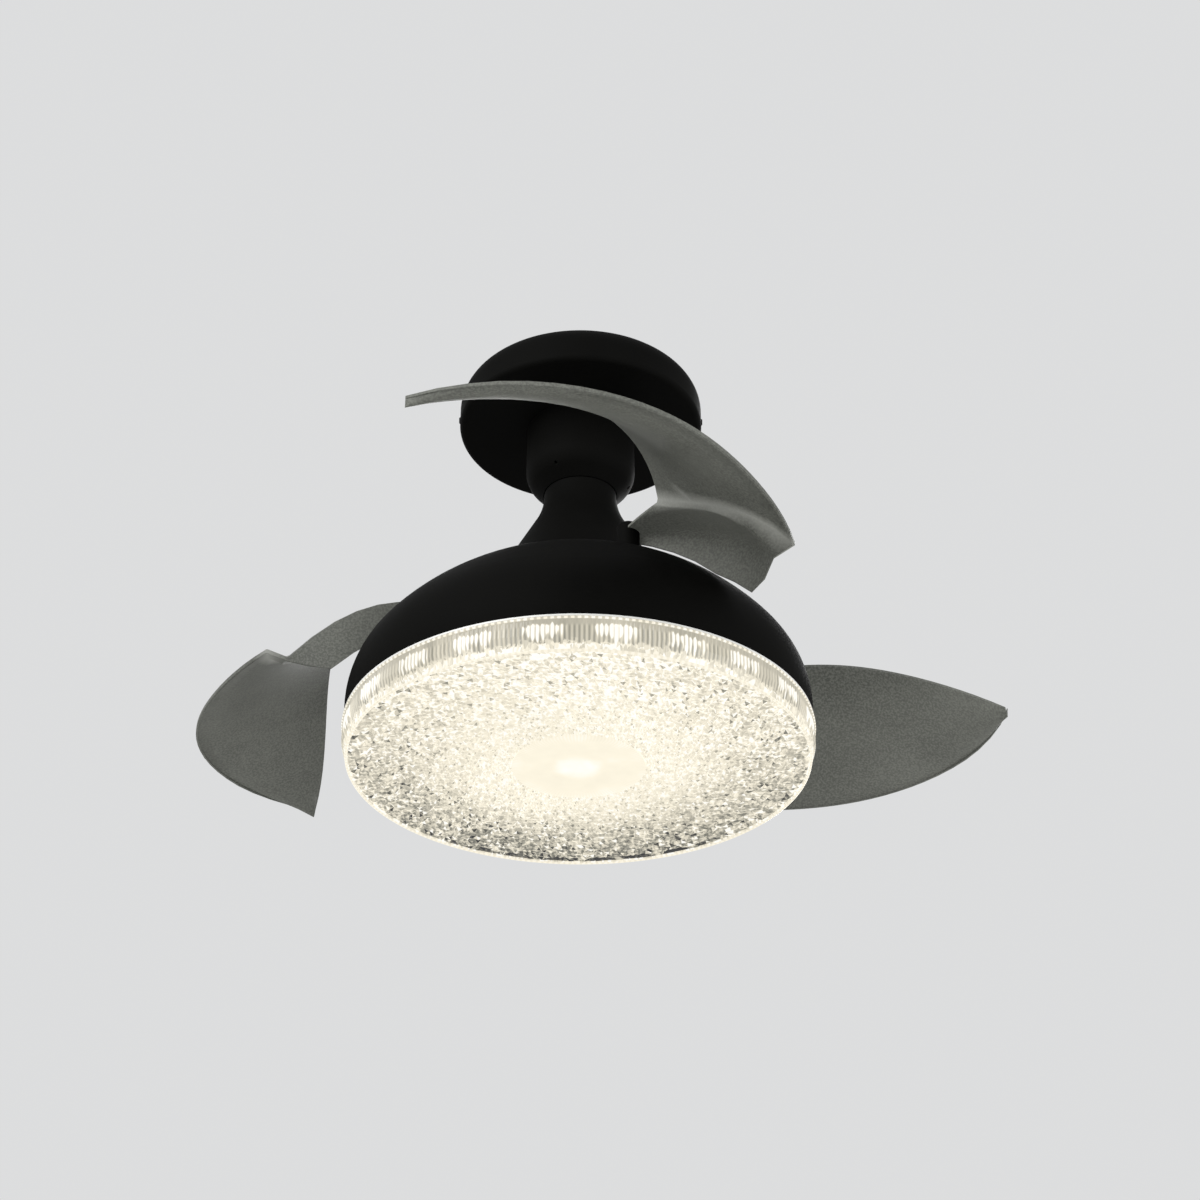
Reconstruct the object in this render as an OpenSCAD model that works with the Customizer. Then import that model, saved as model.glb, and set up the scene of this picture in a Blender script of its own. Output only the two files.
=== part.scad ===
// Ceiling fan with three folding blades and a faceted lamp under a domed cover.
// Lengths are in millimetres. The origin is the centre of the face that meets the ceiling, +Z is up,
// and the fan hangs below it. Heights marked "above the rim" count from the lamp's rim plane.
// The rest pose is the running one, with the blades swung out.

/* [Whole fan] */
// Radius of the lamp's rim
rim_r = 250; // [220:1:300]
// Distance from the ceiling down to the rim plane
rim_drop = 455; // [430:1:540]
// Clear gap wherever a turning cover passes a fixed one
cover_gap = 2; // [1.5:0.1:3]
// Clearance between soft or loose faces of one assembly
seat_gap = 0.02; // [0.01:0.01:0.05]
// Radial clearance of every shaft that turns in a bore
run_gap = 0.05; // [0.02:0.01:0.09]

/* [Canopy and ceiling bracket] */
// Outer radius of the canopy
canopy_r = 140; // [120:1:160]
// Height of the canopy
canopy_h = 55; // [45:1:70]
// Fillet round the canopy's top shoulder
canopy_shoulder = 29; // [10:1:34]
// Fillet round the canopy's lower edge
canopy_edge = 6; // [3:0.5:10]
// Wall of the canopy
canopy_wall = 2; // [1.5:0.1:3]
// Gap between the canopy's top edge and the ceiling
canopy_lift = 1; // [0.5:0.1:3]
// Length of the bracket bar
bracket_l = 210; // [190:1:212]
// Width of the bracket bar
bracket_w = 44; // [38:1:60]
// Thickness of the bracket bar
bracket_t = 3; // [2:0.5:5]
// Distance between the two ceiling slots
slot_spacing = 150; // [120:1:165]
// End to end length of a ceiling slot
slot_l = 20; // [12:1:24]
// Width of a ceiling slot
slot_w = 6.4; // [4:0.2:8]
// Radius of the cable entry in the bracket
cable_entry_r = 10; // [6:0.5:12]

/* [Neck] */
// Smallest radius of the hourglass neck
neck_r = 41; // [38:0.5:50]
// Height of the waist above the rim
waist_z = 310; // [290:1:320]
// Radius of the curve under the waist
neck_curve_r = 90; // [70:1:120]
// How far the curve turns before it runs straight, in degrees
neck_curve_turn = 28; // [20:0.1:30]
// Height of the neck cover's lower lip above the rim
neck_foot_z = 187.5; // [187:0.5:196]
// Outer radius of the collar where it meets the canopy
collar_r = 62; // [55:1:75]
// Wall of the neck cover and the collar
neck_wall = 2; // [1.5:0.1:3]
// Outer radius of the downrod
rod_r = 13; // [12:0.5:16]

/* [Dome cover] */
// Widest radius of the dome
dome_r = 248; // [218:1:298]
// Height of the widest circle above the rim
dome_belt_z = 25; // [20:1:32]
// Radius of the shoulder curve
shoulder_r = 100; // [95:1:105]
// Angle where the shoulder curve meets the crown curve, in degrees
shoulder_turn = 38; // [36:0.5:40]
// Radius of the crown curve
crown_r = 270; // [262:1:280]
// Wall of the dome
dome_wall = 2.2; // [1.8:0.1:3]
// Radius of the opening at the top of the dome
dome_top_hole_r = 74; // [70:1:80]

/* [Blades] */
// Number of blades
blade_count = 3; // [3:1:3]
// Distance from the axis to each blade's pivot
pivot_r = 150; // [148:0.5:152]
// Direction of the first pivot, in degrees
pivot_dir = 289.5; // [0:0.5:359]
// Travel from the open to the folded blade, in degrees
fold_travel = 100; // [90:1:101]
// Thickness of a blade
blade_t = 2.6; // [2:0.1:3.2]
// How far the root plate lies under the blade
root_step = 5; // [4:0.1:6]
// Width of the turned-down rim along a blade's outer edge
rim_w = 2.2; // [1.6:0.1:3]
// Depth of that rim below the blade
rim_h = 2.5; // [1.5:0.1:4]
// Least height of a blade above the dome it swings over
dome_clearance = 3; // [2.5:0.1:5]

/* [Folding gear] */
// Module of the gear teeth
gear_module = 3; // [3:0.5:3]
// Teeth of a full blade gear
blade_gear_teeth = 25; // [25:1:25]
// Teeth of a full sync ring
ring_gear_teeth = 75; // [75:1:75]
// Radius of a blade's pivot pin
pin_r = 8; // [7:0.5:9]
// Thinning of each tooth flank for play
tooth_play = 0.12; // [0.08:0.01:0.2]

/* [Motor] */
// Outer radius of the rotor cup
rotor_r = 98; // [97:0.5:99]
// Radius of the hollow shaft
shaft_r = 9; // [8.5:0.5:10]
// Bore of the hollow shaft
shaft_bore_r = 6; // [4:0.5:6.5]
// Underside of the rotor cup above the rim
rotor_z = 64; // [60:1:68]
// Height of the rotor cup
rotor_h = 40; // [38:1:42]
// Number of stator teeth
stator_teeth = 18; // [9:3:24]
// Number of magnets
magnet_count = 20; // [10:2:24]

/* [Lamp] */
// Depth of the diffuser under the rim plane
diffuser_depth = 35; // [28:1:45]
// How much the diffuser's bottom is smaller than its rim
diffuser_taper = 5.5; // [3:0.5:10]
// Wall of the diffuser
diffuser_wall = 3; // [2:0.1:4]
// Radius of the clear disc at the centre of the diffuser
centre_disc_r = 69; // [50:1:90]
// Number of lamps in the outer ring
outer_led_count = 22; // [12:1:28]
// Distance from the axis to the outer lamps
outer_led_r = 222; // [192:1:224]

/* [Hidden] */

$fn = 96;
eps = 0.01;
black = [0.05, 0.05, 0.05];
steel = [0.62, 0.63, 0.65];
smoke = [0.55, 0.57, 0.55, 0.6];

// ---- places worked out from the sizes above ----
step_dir = 360 / blade_count;
pivot = [pivot_r * cos(pivot_dir), pivot_r * sin(pivot_dir)];
far = 4 * rim_r;

shoulder_c = [dome_r - shoulder_r, dome_belt_z];
crown_c = shoulder_c + (shoulder_r - crown_r) * [cos(shoulder_turn), sin(shoulder_turn)];
function crown_z(r) = crown_c[1] + sqrt(crown_r * crown_r - pow(r - crown_c[0], 2));
dome_foot_z = 3.5 + cover_gap;
dome_foot_dir = asin((dome_foot_z - dome_belt_z) / shoulder_r);

// The lid, the carrier and the pivots stack on the rotor cup.
lid_z = rotor_z + rotor_h;
lid_t = 6;
ledge_t = 3;
carrier_z = lid_z + lid_t;
carrier_t = 4;
boss_r = 16;
boss_top_z = carrier_z + 26;
bush_wall = 3;
hub_r = 12;
hub_foot_z = boss_top_z + 1;
hub_top_z = 173;
hub_hole_r = hub_r + 2.5;
// The blade's shape is laid out lying over the dome, this many degrees from where it runs.
lay_turn = 104;
gear_t = 8;
gear_z = carrier_z - 0.4 - gear_t;
carrier_r = pivot_r - 30;
dome_post_r = carrier_r - 10;
dome_post_dir = 60;

// Bearings
bearing_w = 9;
inner_race_r = shaft_r + 3;
ball_r = 2.3;
ball_ring_r = inner_race_r + 1.75;
outer_race_r = ball_ring_r + 5.25;
ball_count = 9;
groove_gap = 0.12;
upper_bearing_z = lid_z - 4;
lower_bearing_z = rotor_z - 4;

// Lamp
pan_flange_z = 1.5;
pan_t = 2;
pan_z = 8;
pan_wall_r = dome_r - 10;
led_board_t = 1.6;

// ---- shared shapes ----

// Puts its children at their height above the rim plane
module above_rim(z = 0) translate([0, 0, z - rim_drop]) children();

// Repeats its children at every blade
module each_blade() for (i = [0 : blade_count - 1]) rotate(i * step_dir) children();

// Turns its children with one blade
module at_blade(i) rotate((i - 1) * step_dir) children();

// Repeats its children round the axis
module ring_of(count, r, start = 0)
    for (i = [0 : count - 1]) rotate(start + i * 360 / count) translate([r, 0, 0]) children();

// The same list from its end to its start
function reversed(v) = [for (i = [len(v) - 1 : -1 : 0]) v[i]];

// A tube with its foot at z = 0
module tube(r_out, r_in, h) difference() {
    cylinder(r = r_out, h = h);
    translate([0, 0, -1]) cylinder(r = r_in, h = h + 2);
}

// A flat pie slice with its tip at c, for trimming arcs
module slice(c, from, to) translate(c)
    polygon([[0, 0], far * [cos(from), sin(from)], far * [cos((from + to) / 2), sin((from + to) / 2)],
             far * [cos(to), sin(to)]]);

// The stretch of a ring from one direction to the other
module arc_band(c, r_in, r_out, from, to) intersection() {
    translate(c) difference() {
        circle(r = r_out);
        circle(r = r_in);
    }
    slice(c, from, to);
}

// A pan head screw, with its shank along -Z and the underside of its head at z = 0
module screw(shank_r, shank_l, head_r, head_h) {
    translate([0, 0, -shank_l]) cylinder(r = shank_r, h = shank_l + eps);
    difference() {
        cylinder(r1 = head_r, r2 = head_r * 0.8, h = head_h);
        for (a = [0, 90]) rotate(a)
            translate([-head_r * 0.55, -0.5, head_h * 0.5]) cube([head_r * 1.1, 1, head_h]);
    }
}

// ---- canopy and ceiling bracket ----

tab_t = 2;
tab_x = canopy_r - canopy_wall - 0.5;
canopy_screw_z = -canopy_lift - canopy_h + 18;
socket_r = rod_r + 5;
socket_l = 30;
slot_run = slot_l - slot_w;

module pin_hole(z)
    translate([0, 0, z]) rotate([90, 0, 0]) cylinder(r = rod_pin_r + seat_gap, h = far, center = true);

module ceiling_bracket() color(steel) difference() {
    union() {
        translate([-bracket_l / 2, -bracket_w / 2, -bracket_t]) cube([bracket_l, bracket_w, bracket_t]);
        translate([0, 0, -bracket_t - socket_l]) cylinder(r = socket_r, h = socket_l + eps);
        for (s = [-1, 1]) {
            translate([s * (bracket_l / 2 - tab_t / 2) - tab_t / 2, -9, canopy_screw_z - 8])
                cube([tab_t, 18, -canopy_screw_z + 8 - bracket_t + eps]);
            translate([min(s * bracket_l / 2, s * tab_x), -9, canopy_screw_z - 8])
                cube([tab_x - bracket_l / 2, 18, tab_t]);
            translate([s * (tab_x - tab_t / 2) - tab_t / 2, -9, canopy_screw_z - 8]) cube([tab_t, 18, 16]);
        }
    }
    translate([0, 0, -bracket_t - socket_l - 1]) cylinder(r = rod_r + run_gap, h = socket_l + 1 - 2);
    translate([0, 0, -far / 2]) cylinder(r = cable_entry_r, h = far);
    for (s = [-1, 1]) {
        translate([s * slot_spacing / 2, 0, -bracket_t - 1]) {
            for (e = [-1, 1]) translate([e * slot_run / 2, 0, 0]) cylinder(r = slot_w / 2, h = bracket_t + 2);
            translate([-slot_run / 2, -slot_w / 2, 0]) cube([slot_run, slot_w, bracket_t + 2]);
        }
        translate([s * tab_x, 0, canopy_screw_z]) rotate([0, 90, 0]) cylinder(r = 2, h = 20, center = true);
    }
    pin_hole(rod_pin_top_z);
}

canopy_z = -canopy_lift - canopy_h;
canopy_hole_r = 50;

// Half section of the canopy, solid out to r and up to the height h, with its two fillets
module canopy_half(inset) {
    r = canopy_r - inset;
    foot = canopy_z + inset;
    top = -canopy_lift;
    edge = canopy_edge - inset;
    shoulder = canopy_shoulder - inset;
    translate([0, foot]) square([r - edge, top - foot - canopy_shoulder]);
    translate([0, foot + edge]) square([r, top - foot - canopy_shoulder - edge]);
    translate([r - edge, foot + edge]) circle(r = edge);
    intersection() {
        translate([canopy_r - canopy_shoulder, top - canopy_shoulder]) circle(r = shoulder);
        translate([canopy_r - canopy_shoulder, top - canopy_shoulder]) square(canopy_shoulder + 1);
    }
    translate([0, top - canopy_shoulder - eps])
        square([canopy_r - canopy_shoulder + eps, canopy_shoulder + eps]);
}

module canopy() color(black) difference() {
    rotate_extrude($fn = 160) intersection() {
        difference() {
            canopy_half(0);
            canopy_half(canopy_wall);
            translate([-1, -canopy_lift - canopy_shoulder]) square([canopy_r - canopy_shoulder + 1, far]);
        }
        translate([0, -far]) square(far);
    }
    translate([0, 0, canopy_z - 1]) cylinder(r = canopy_hole_r, h = canopy_wall + 2);
    for (s = [-1, 1]) translate([s * canopy_r, 0, canopy_screw_z]) rotate([0, 90, 0])
        cylinder(r = 2.3, h = 4 * canopy_wall, center = true);
    ring_of(3, canopy_hole_r + 5) translate([0, 0, canopy_z - 1]) cylinder(r = 1.8, h = canopy_wall + 2);
}

module canopy_screws() color(steel)
    for (s = [0, 180]) rotate(s) translate([canopy_r, 0, canopy_screw_z]) rotate([0, 90, 0])
        screw(2 - seat_gap, canopy_wall + 6, 4.2, 1.5);

receiver = [74, 40, 24];
module receiver_box() color([0.85, 0.85, 0.83])
    translate([-receiver[0] / 2, bracket_w / 2 + 40, canopy_z + canopy_wall]) difference() {
        cube(receiver);
        for (i = [0 : 5]) translate([10 + i * 10, 8, receiver[2] - 1]) cube([4, receiver[1] - 16, 2]);
    }

module terminal_block() color([0.9, 0.9, 0.88])
    translate([-21, -bracket_w / 2 - 62, canopy_z + canopy_wall]) difference() {
        cube([42, 18, 14]);
        for (i = [0 : 3]) translate([6 + i * 10, 9, 6]) cylinder(r = 2.4, h = 10);
        for (i = [0 : 3]) translate([6 + i * 10, -1, 6]) rotate([-90, 0, 0]) cylinder(r = 1.6, h = 20);
    }

// ---- neck ----

rod_pin_r = 3;
rod_pin_top_z = -bracket_t - socket_l + 10;
rod_top_z = -bracket_t - 2.5;
rod_foot_z = 205;
rod_overlap = 40;
rod_pin_low_z = rod_foot_z + 18;

module downrod() color(black) difference() {
    above_rim(rod_foot_z) tube(rod_r, shaft_r + seat_gap, rod_top_z + rim_drop - rod_foot_z);
    pin_hole(rod_pin_top_z);
    above_rim(rod_pin_low_z) rotate([90, 0, 0]) cylinder(r = rod_pin_r + seat_gap, h = far, center = true);
}

module rod_pin(l) rotate([90, 0, 0]) {
    cylinder(r = rod_pin_r, h = l, center = true);
    translate([0, 0, l / 2 - eps]) cylinder(r = rod_pin_r + 2, h = 2);
}

module rod_pins() color(steel) {
    translate([0, 0, rod_pin_top_z]) rod_pin(2 * socket_r + 2);
    above_rim(rod_pin_low_z) rod_pin(2 * rod_r + 2);
}

seam = 0.4;
collar_foot = [neck_r + 1, waist_z + seam];
collar_bowl_r = 30;
collar_flange_t = 2;
collar_flare_l = (collar_r - collar_bowl_r * (1 - cos(45)) - collar_foot[0]) * sqrt(2);
collar_bowl_c = [collar_r - collar_bowl_r, collar_foot[1] + (collar_flare_l + collar_bowl_r) * sin(45)];

module neck_collar() color(black) translate([0, 0, -rim_drop]) difference() {
    rotate_extrude($fn = 128) {
        translate(collar_foot) rotate(45) translate([0, 0]) square([collar_flare_l + 0.5, neck_wall]);
        arc_band(collar_bowl_c, collar_bowl_r - neck_wall, collar_bowl_r, -45, 0);
        translate([collar_r - neck_wall, collar_bowl_c[1] - 0.5])
            square([neck_wall, canopy_z + rim_drop - collar_bowl_c[1] + 0.5]);
        translate([canopy_hole_r - 4, canopy_z + rim_drop - collar_flange_t])
            square([collar_r - canopy_hole_r + 3, collar_flange_t]);
    }
    ring_of(3, canopy_hole_r + 5) cylinder(r = 1.8, h = far);
}

module collar_nuts() color(steel)
    ring_of(3, canopy_hole_r + 5) translate([0, 0, canopy_z + canopy_wall]) {
        difference() {
            cylinder(r = 3.6, h = 3, $fn = 6);
            translate([0, 0, -1]) cylinder(r = 1.75, h = 5);
        }
        translate([0, 0, -canopy_wall - collar_flange_t]) rotate([180, 0, 0])
            screw(1.72, canopy_wall + collar_flange_t + 4, 3.2, 2);
    }

// Outer radius of the neck cover at the end of its curve, and at its foot
cone_top_r = neck_r + neck_curve_r * (1 - cos(neck_curve_turn));
cone_top_z = waist_z - neck_curve_r * sin(neck_curve_turn);
cone_foot_r = cone_top_r + (cone_top_z - neck_foot_z) * tan(neck_curve_turn);
neck_lip_r = cone_foot_r + 6;
cone_dir = [cos(neck_curve_turn), sin(neck_curve_turn)];
cone_top = [cone_top_r, cone_top_z] + 0.5 * [-sin(neck_curve_turn), cos(neck_curve_turn)];

module neck_cover() color(black) above_rim() rotate_extrude($fn = 128) {
    arc_band([neck_r + neck_curve_r, waist_z], neck_curve_r, neck_curve_r + neck_wall,
             180, 180 + neck_curve_turn);
    polygon([cone_top - neck_wall * cone_dir, [cone_foot_r - 2 * neck_wall, neck_foot_z - 2],
             [neck_lip_r, neck_foot_z - 5], [neck_lip_r, neck_foot_z - 3], [cone_foot_r, neck_foot_z], cone_top]);
}

spacer_z = waist_z - 10;
spacer_t = 6;
spacer_r = neck_r + neck_curve_r - 0.1
    - sqrt(pow(neck_curve_r + neck_wall, 2) - pow(waist_z - spacer_z - spacer_t, 2));
module neck_spacer() color([0.2, 0.2, 0.2]) above_rim(spacer_z) difference() {
    union() {
        cylinder(r = spacer_r, h = spacer_t);
        translate([0, 0, -8]) cylinder(r = rod_r + 6, h = 8 + eps);
    }
    translate([0, 0, -9]) cylinder(r = rod_r + seat_gap, h = spacer_t + 10);
    ring_of(3, (spacer_r + rod_r) / 2 + 3) translate([0, 0, -1]) cylinder(r = 6, h = spacer_t + 2);
}

// ---- dome ----

module dome_section() {
    arc_band(shoulder_c, shoulder_r - dome_wall, shoulder_r, dome_foot_dir, shoulder_turn);
    intersection() {
        arc_band(crown_c, crown_r - dome_wall, crown_r, shoulder_turn, 89);
        translate([dome_top_hole_r, 0]) square(far);
    }
}

module dome_cover() color(black) above_rim() difference() {
    rotate_extrude($fn = 200) dome_section();
    each_blade() translate(pivot) cylinder(r = hub_hole_r, h = far);
    ring_of(3, dome_post_r, dome_post_dir) cylinder(r = 2.1, h = far);
}

dome_post_top = crown_z(dome_post_r + 6) - dome_wall / cos(30) - 0.3;
module dome_posts() color(steel) above_rim() ring_of(3, dome_post_r, dome_post_dir)
    translate([0, 0, carrier_z + carrier_t]) tube(6, 2, dome_post_top - carrier_z - carrier_t);

module dome_screws() color(black) above_rim() ring_of(3, dome_post_r, dome_post_dir)
    translate([0, 0, crown_z(dome_post_r - 5) + 0.2]) screw(2 - seat_gap, 24, 4.5, 2.6);

// ---- motor ----

module race(r_in, r_out, z) translate([0, 0, z]) difference() {
    tube(r_out, r_in, bearing_w);
    translate([0, 0, bearing_w / 2]) rotate_extrude()
        translate([ball_ring_r, 0]) circle(r = ball_r + groove_gap, $fn = 48);
}

module bearing_inner_races() color(steel) above_rim() for (z = [upper_bearing_z, lower_bearing_z])
    race(shaft_r + seat_gap, inner_race_r, z);

module bearing_outer_races() color(steel) above_rim() for (z = [upper_bearing_z, lower_bearing_z])
    race(ball_ring_r + 1.75, outer_race_r, z);

module bearing_balls() color([0.8, 0.8, 0.82]) above_rim() for (z = [upper_bearing_z, lower_bearing_z])
    ring_of(ball_count, ball_ring_r) translate([0, 0, z + bearing_w / 2]) sphere(r = ball_r, $fn = 32);

shaft_top_z = rod_foot_z + rod_overlap;
shaft_foot_z = 2;
module motor_shaft() color(steel) above_rim() difference() {
    union() {
        translate([0, 0, shaft_foot_z]) cylinder(r = shaft_r, h = shaft_top_z - shaft_foot_z);
        translate([0, 0, lower_bearing_z + bearing_w + 0.2])
            cylinder(r = shaft_r + 2.5, h = upper_bearing_z - lower_bearing_z - bearing_w - 0.4);
    }
    cylinder(r = shaft_bore_r, h = far);
    pin_hole(rod_pin_low_z);
}

module shaft_clips() color(steel) above_rim()
    for (z = [upper_bearing_z + bearing_w + 0.1, lower_bearing_z - 1.3]) translate([0, 0, z]) difference() {
        tube(shaft_r + 2.4, shaft_r + seat_gap, 1.2);
        translate([0, -3, -1]) cube([20, 6, 4]);
    }

air_gap = 0.7;
magnet_t = 4;
cup_wall = 6;
magnet_r = rotor_r - cup_wall;
stator_r = magnet_r - magnet_t - air_gap;
stator_z = rotor_z + 12;
stator_h = 18;
stator_hub_r = 46;
tooth_w = 9;
module stator_core() color([0.45, 0.45, 0.47]) above_rim(stator_z) difference() {
    union() {
        tube(stator_hub_r, shaft_r + 2.5 + seat_gap, stator_h);
        intersection() {
            union() {
                ring_of(stator_teeth, stator_hub_r - 1)
                    translate([0, -tooth_w / 2, 0]) cube([far / 4, tooth_w, stator_h]);
                ring_of(stator_teeth, stator_r - 4)
                    translate([0, -tooth_w * 1.35, 0]) cube([10, tooth_w * 2.7, stator_h]);
            }
            cylinder(r = stator_r, h = stator_h, $fn = 180);
        }
    }
    ring_of(6, 28) translate([0, 0, -1]) cylinder(r = 8, h = stator_h + 2);
}

coil_build = 2.4;
module stator_coils() color([0.72, 0.38, 0.16]) above_rim(stator_z)
    ring_of(stator_teeth, stator_hub_r + 3) difference() {
        translate([0, -tooth_w / 2 - coil_build, -coil_build - 1])
            cube([stator_r - stator_hub_r - 10, tooth_w + 2 * coil_build, stator_h + 2 * coil_build + 2]);
        translate([-1, -tooth_w / 2 - 0.1, -0.1]) cube([stator_r, tooth_w + 0.2, stator_h + 0.2]);
    }

module rotor_cup() color([0.3, 0.3, 0.32]) above_rim(rotor_z) difference() {
    union() {
        cylinder(r = rotor_r, h = rotor_h);
        translate([0, 0, lower_bearing_z - rotor_z - 1.5]) cylinder(r = outer_race_r + 4, h = 10);
        translate([0, 0, gear_z - 0.3 - ledge_t - rotor_z]) cylinder(r = rotor_r + 5, h = ledge_t);
    }
    translate([0, 0, 3]) cylinder(r = rotor_r - cup_wall, h = far);
    translate([0, 0, lower_bearing_z - rotor_z]) cylinder(r = outer_race_r + seat_gap, h = far);
    translate([0, 0, -far / 2]) cylinder(r = outer_race_r - 2, h = far);
    ring_of(12, 62) translate([0, 0, -1]) cylinder(r = 7, h = 6);
    ring_of(6, rotor_r - cup_wall / 2) translate([0, 0, rotor_h - 10]) cylinder(r = 1.5, h = 11);
}

module rotor_lid() color([0.3, 0.3, 0.32]) above_rim(lid_z) difference() {
    union() {
        cylinder(r = rotor_r, h = lid_t);
        translate([0, 0, upper_bearing_z - lid_z]) cylinder(r = outer_race_r + 4, h = 6);
    }
    translate([0, 0, upper_bearing_z - lid_z - 1]) cylinder(r = outer_race_r + seat_gap, h = bearing_w + 1);
    translate([0, 0, -far / 2]) cylinder(r = outer_race_r - 2, h = far);
    ring_of(6, rotor_r - cup_wall / 2) translate([0, 0, -1]) {
        cylinder(r = 1.7, h = far);
        translate([0, 0, lid_t - 2]) cylinder(r = 2.6, h = far);
    }
    ring_of(6, 70, 30) translate([0, 0, -1]) cylinder(r = 2, h = far);
}

module rotor_screws() color(steel) above_rim(lid_z + lid_t - 3)
    ring_of(6, rotor_r - cup_wall / 2) screw(1.5 - seat_gap, 11, 2.4, 2.4);

magnet_half_w = magnet_r * sin(155 / magnet_count);
module rotor_magnets() color([0.2, 0.2, 0.22]) above_rim(rotor_z + 8) intersection() {
    tube(magnet_r - seat_gap, magnet_r - magnet_t, 26);
    ring_of(magnet_count, magnet_r - magnet_t - 2)
        translate([0, -magnet_half_w, -1]) cube([12, 2 * magnet_half_w, 30]);
}

// ---- blade carrier ----

module blade_carrier() color([0.35, 0.35, 0.37]) above_rim(carrier_z) difference() {
    union() {
        cylinder(r = carrier_r, h = carrier_t);
        each_blade() {
            translate(pivot) cylinder(r = stop_r + 6, h = carrier_t);
            translate(pivot) cylinder(r = boss_r, h = boss_top_z - carrier_z);
        }
    }
    translate([0, 0, -1]) cylinder(r = outer_race_r + 3, h = far);
    each_blade() translate([pivot[0], pivot[1], -1]) cylinder(r = pin_r + run_gap + bush_wall, h = far);
    each_blade() translate(pivot) rotate(pivot_dir) for (a = stop_dirs)
        rotate(a) translate([stop_r, 0, -1]) cylinder(r = 1.6, h = carrier_t + 2);
    ring_of(6, 70, 30) translate([0, 0, -1]) cylinder(r = 2.2, h = far);
    ring_of(3, dome_post_r, dome_post_dir) translate([0, 0, -1]) cylinder(r = 2.2, h = far);
}

module carrier_screws() color(steel) above_rim(carrier_z + carrier_t)
    ring_of(6, 70, 30) screw(2 - seat_gap, carrier_t + lid_t, 4, 2.6);

bush_flange_t = 0.8;
module pivot_bushes() color([0.7, 0.55, 0.25]) above_rim() each_blade() translate(pivot) {
    translate([0, 0, carrier_z])
        tube(pin_r + run_gap + bush_wall - seat_gap, pin_r + run_gap, boss_top_z - carrier_z);
    translate([0, 0, boss_top_z]) tube(boss_r - 2, pin_r + run_gap, bush_flange_t);
}

// Coil springs round the pivot bosses, which swing the blades home when the fan stops
spring_wire_r = 1;
spring_turns = 4;
spring_pitch = 3.2;
spring_rings = 8;
spring_sides = 6;
spring_r = (boss_r + spring_wire_r + 0.3) / cos(180 / spring_rings);
function spring_point(n, s) =
    let (a = 360 * n / spring_rings, b = 360 * s / spring_sides, r = spring_r + spring_wire_r * cos(b))
    [r * cos(a), r * sin(a), spring_pitch * n / spring_rings + spring_wire_r * sin(b)];
module coil_spring() {
    count = spring_turns * spring_rings;
    polyhedron(
        points = [for (n = [0 : count]) for (s = [0 : spring_sides - 1]) spring_point(n, s)],
        faces = concat(
            [[for (s = [0 : spring_sides - 1]) s]],
            [for (n = [0 : count - 1]) for (s = [0 : spring_sides - 1])
                let (a = n * spring_sides + s, b = n * spring_sides + (s + 1) % spring_sides)
                [a, a + spring_sides, b]],
            [for (n = [0 : count - 1]) for (s = [0 : spring_sides - 1])
                let (a = n * spring_sides + s, b = n * spring_sides + (s + 1) % spring_sides)
                [b, a + spring_sides, b + spring_sides]],
            [[for (s = [spring_sides - 1 : -1 : 0]) count * spring_sides + s]]));
}
module return_springs() color(steel) above_rim() each_blade()
    translate([pivot[0], pivot[1], carrier_z + carrier_t + spring_wire_r + 0.2]) coil_spring();

// Rubber stops that the gear segment meets at the open and at the folded end of its travel
gear_r = gear_module * blade_gear_teeth / 2;
stop_r = gear_r - 7;
stop_post_r = 3.6;
module blade_stops() color([0.1, 0.1, 0.1]) above_rim() each_blade() translate(pivot) rotate(pivot_dir)
    for (a = stop_dirs) rotate(a) translate([stop_r, 0, 0]) {
        translate([0, 0, gear_z + 1]) cylinder(r = stop_post_r, h = carrier_z - gear_z - 1);
        translate([0, 0, carrier_z - eps]) cylinder(r = 1.6 - seat_gap, h = carrier_t + eps);
    }

// ---- gears ----

pressure = 20;
function involute_dir(r, base) = r <= base ? 0 : sqrt(pow(r / base, 2) - 1) * 180 / PI - acos(base / r);

// One tooth of a gear with the given number of teeth, centred on +X
module tooth(teeth) {
    pitch = gear_module * teeth / 2;
    base = pitch * cos(pressure);
    root = pitch - 1.25 * gear_module;
    tip = pitch + gear_module;
    half = 90 / teeth - tooth_play / pitch * 180 / PI + involute_dir(pitch, base);
    start = max(base, root);
    radii = [for (i = [0 : 5]) start + (tip - start) * i / 5];
    flank = [for (r = radii) let (a = half - involute_dir(r, base)) [r * cos(a), r * sin(a)]];
    foot = (root - 1) * [cos(half), sin(half)];
    polygon(concat([[foot[0], -foot[1]]], [for (q = flank) [q[0], -q[1]]], reversed(flank), [foot]));
}

blade_tooth_step = 360 / blade_gear_teeth;
ring_tooth_step = 360 / ring_gear_teeth;
first_tooth = -2;
last_tooth = 9;
stop_margin = asin(stop_post_r / stop_r) + 1.2;
segment_from = 180 + (first_tooth - 0.5) * blade_tooth_step;
segment_to = 180 + (last_tooth + 0.5) * blade_tooth_step;
stop_dirs = [segment_to + stop_margin, segment_from - fold_travel - stop_margin];

module blade_gear() color([0.88, 0.87, 0.82]) above_rim(gear_z) translate(pivot) rotate(pivot_dir)
    linear_extrude(gear_t) difference() {
        union() {
            circle(r = pin_r + 6);
            intersection() {
                circle(r = gear_r - 1.25 * gear_module);
                union() {
                    slice([0, 0], segment_from, (segment_from + segment_to) / 2 + 1);
                    slice([0, 0], (segment_from + segment_to) / 2 - 1, segment_to);
                }
            }
            for (i = [first_tooth : last_tooth]) rotate(180 + i * blade_tooth_step) tooth(blade_gear_teeth);
        }
        circle(r = pin_r + seat_gap);
    }

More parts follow.
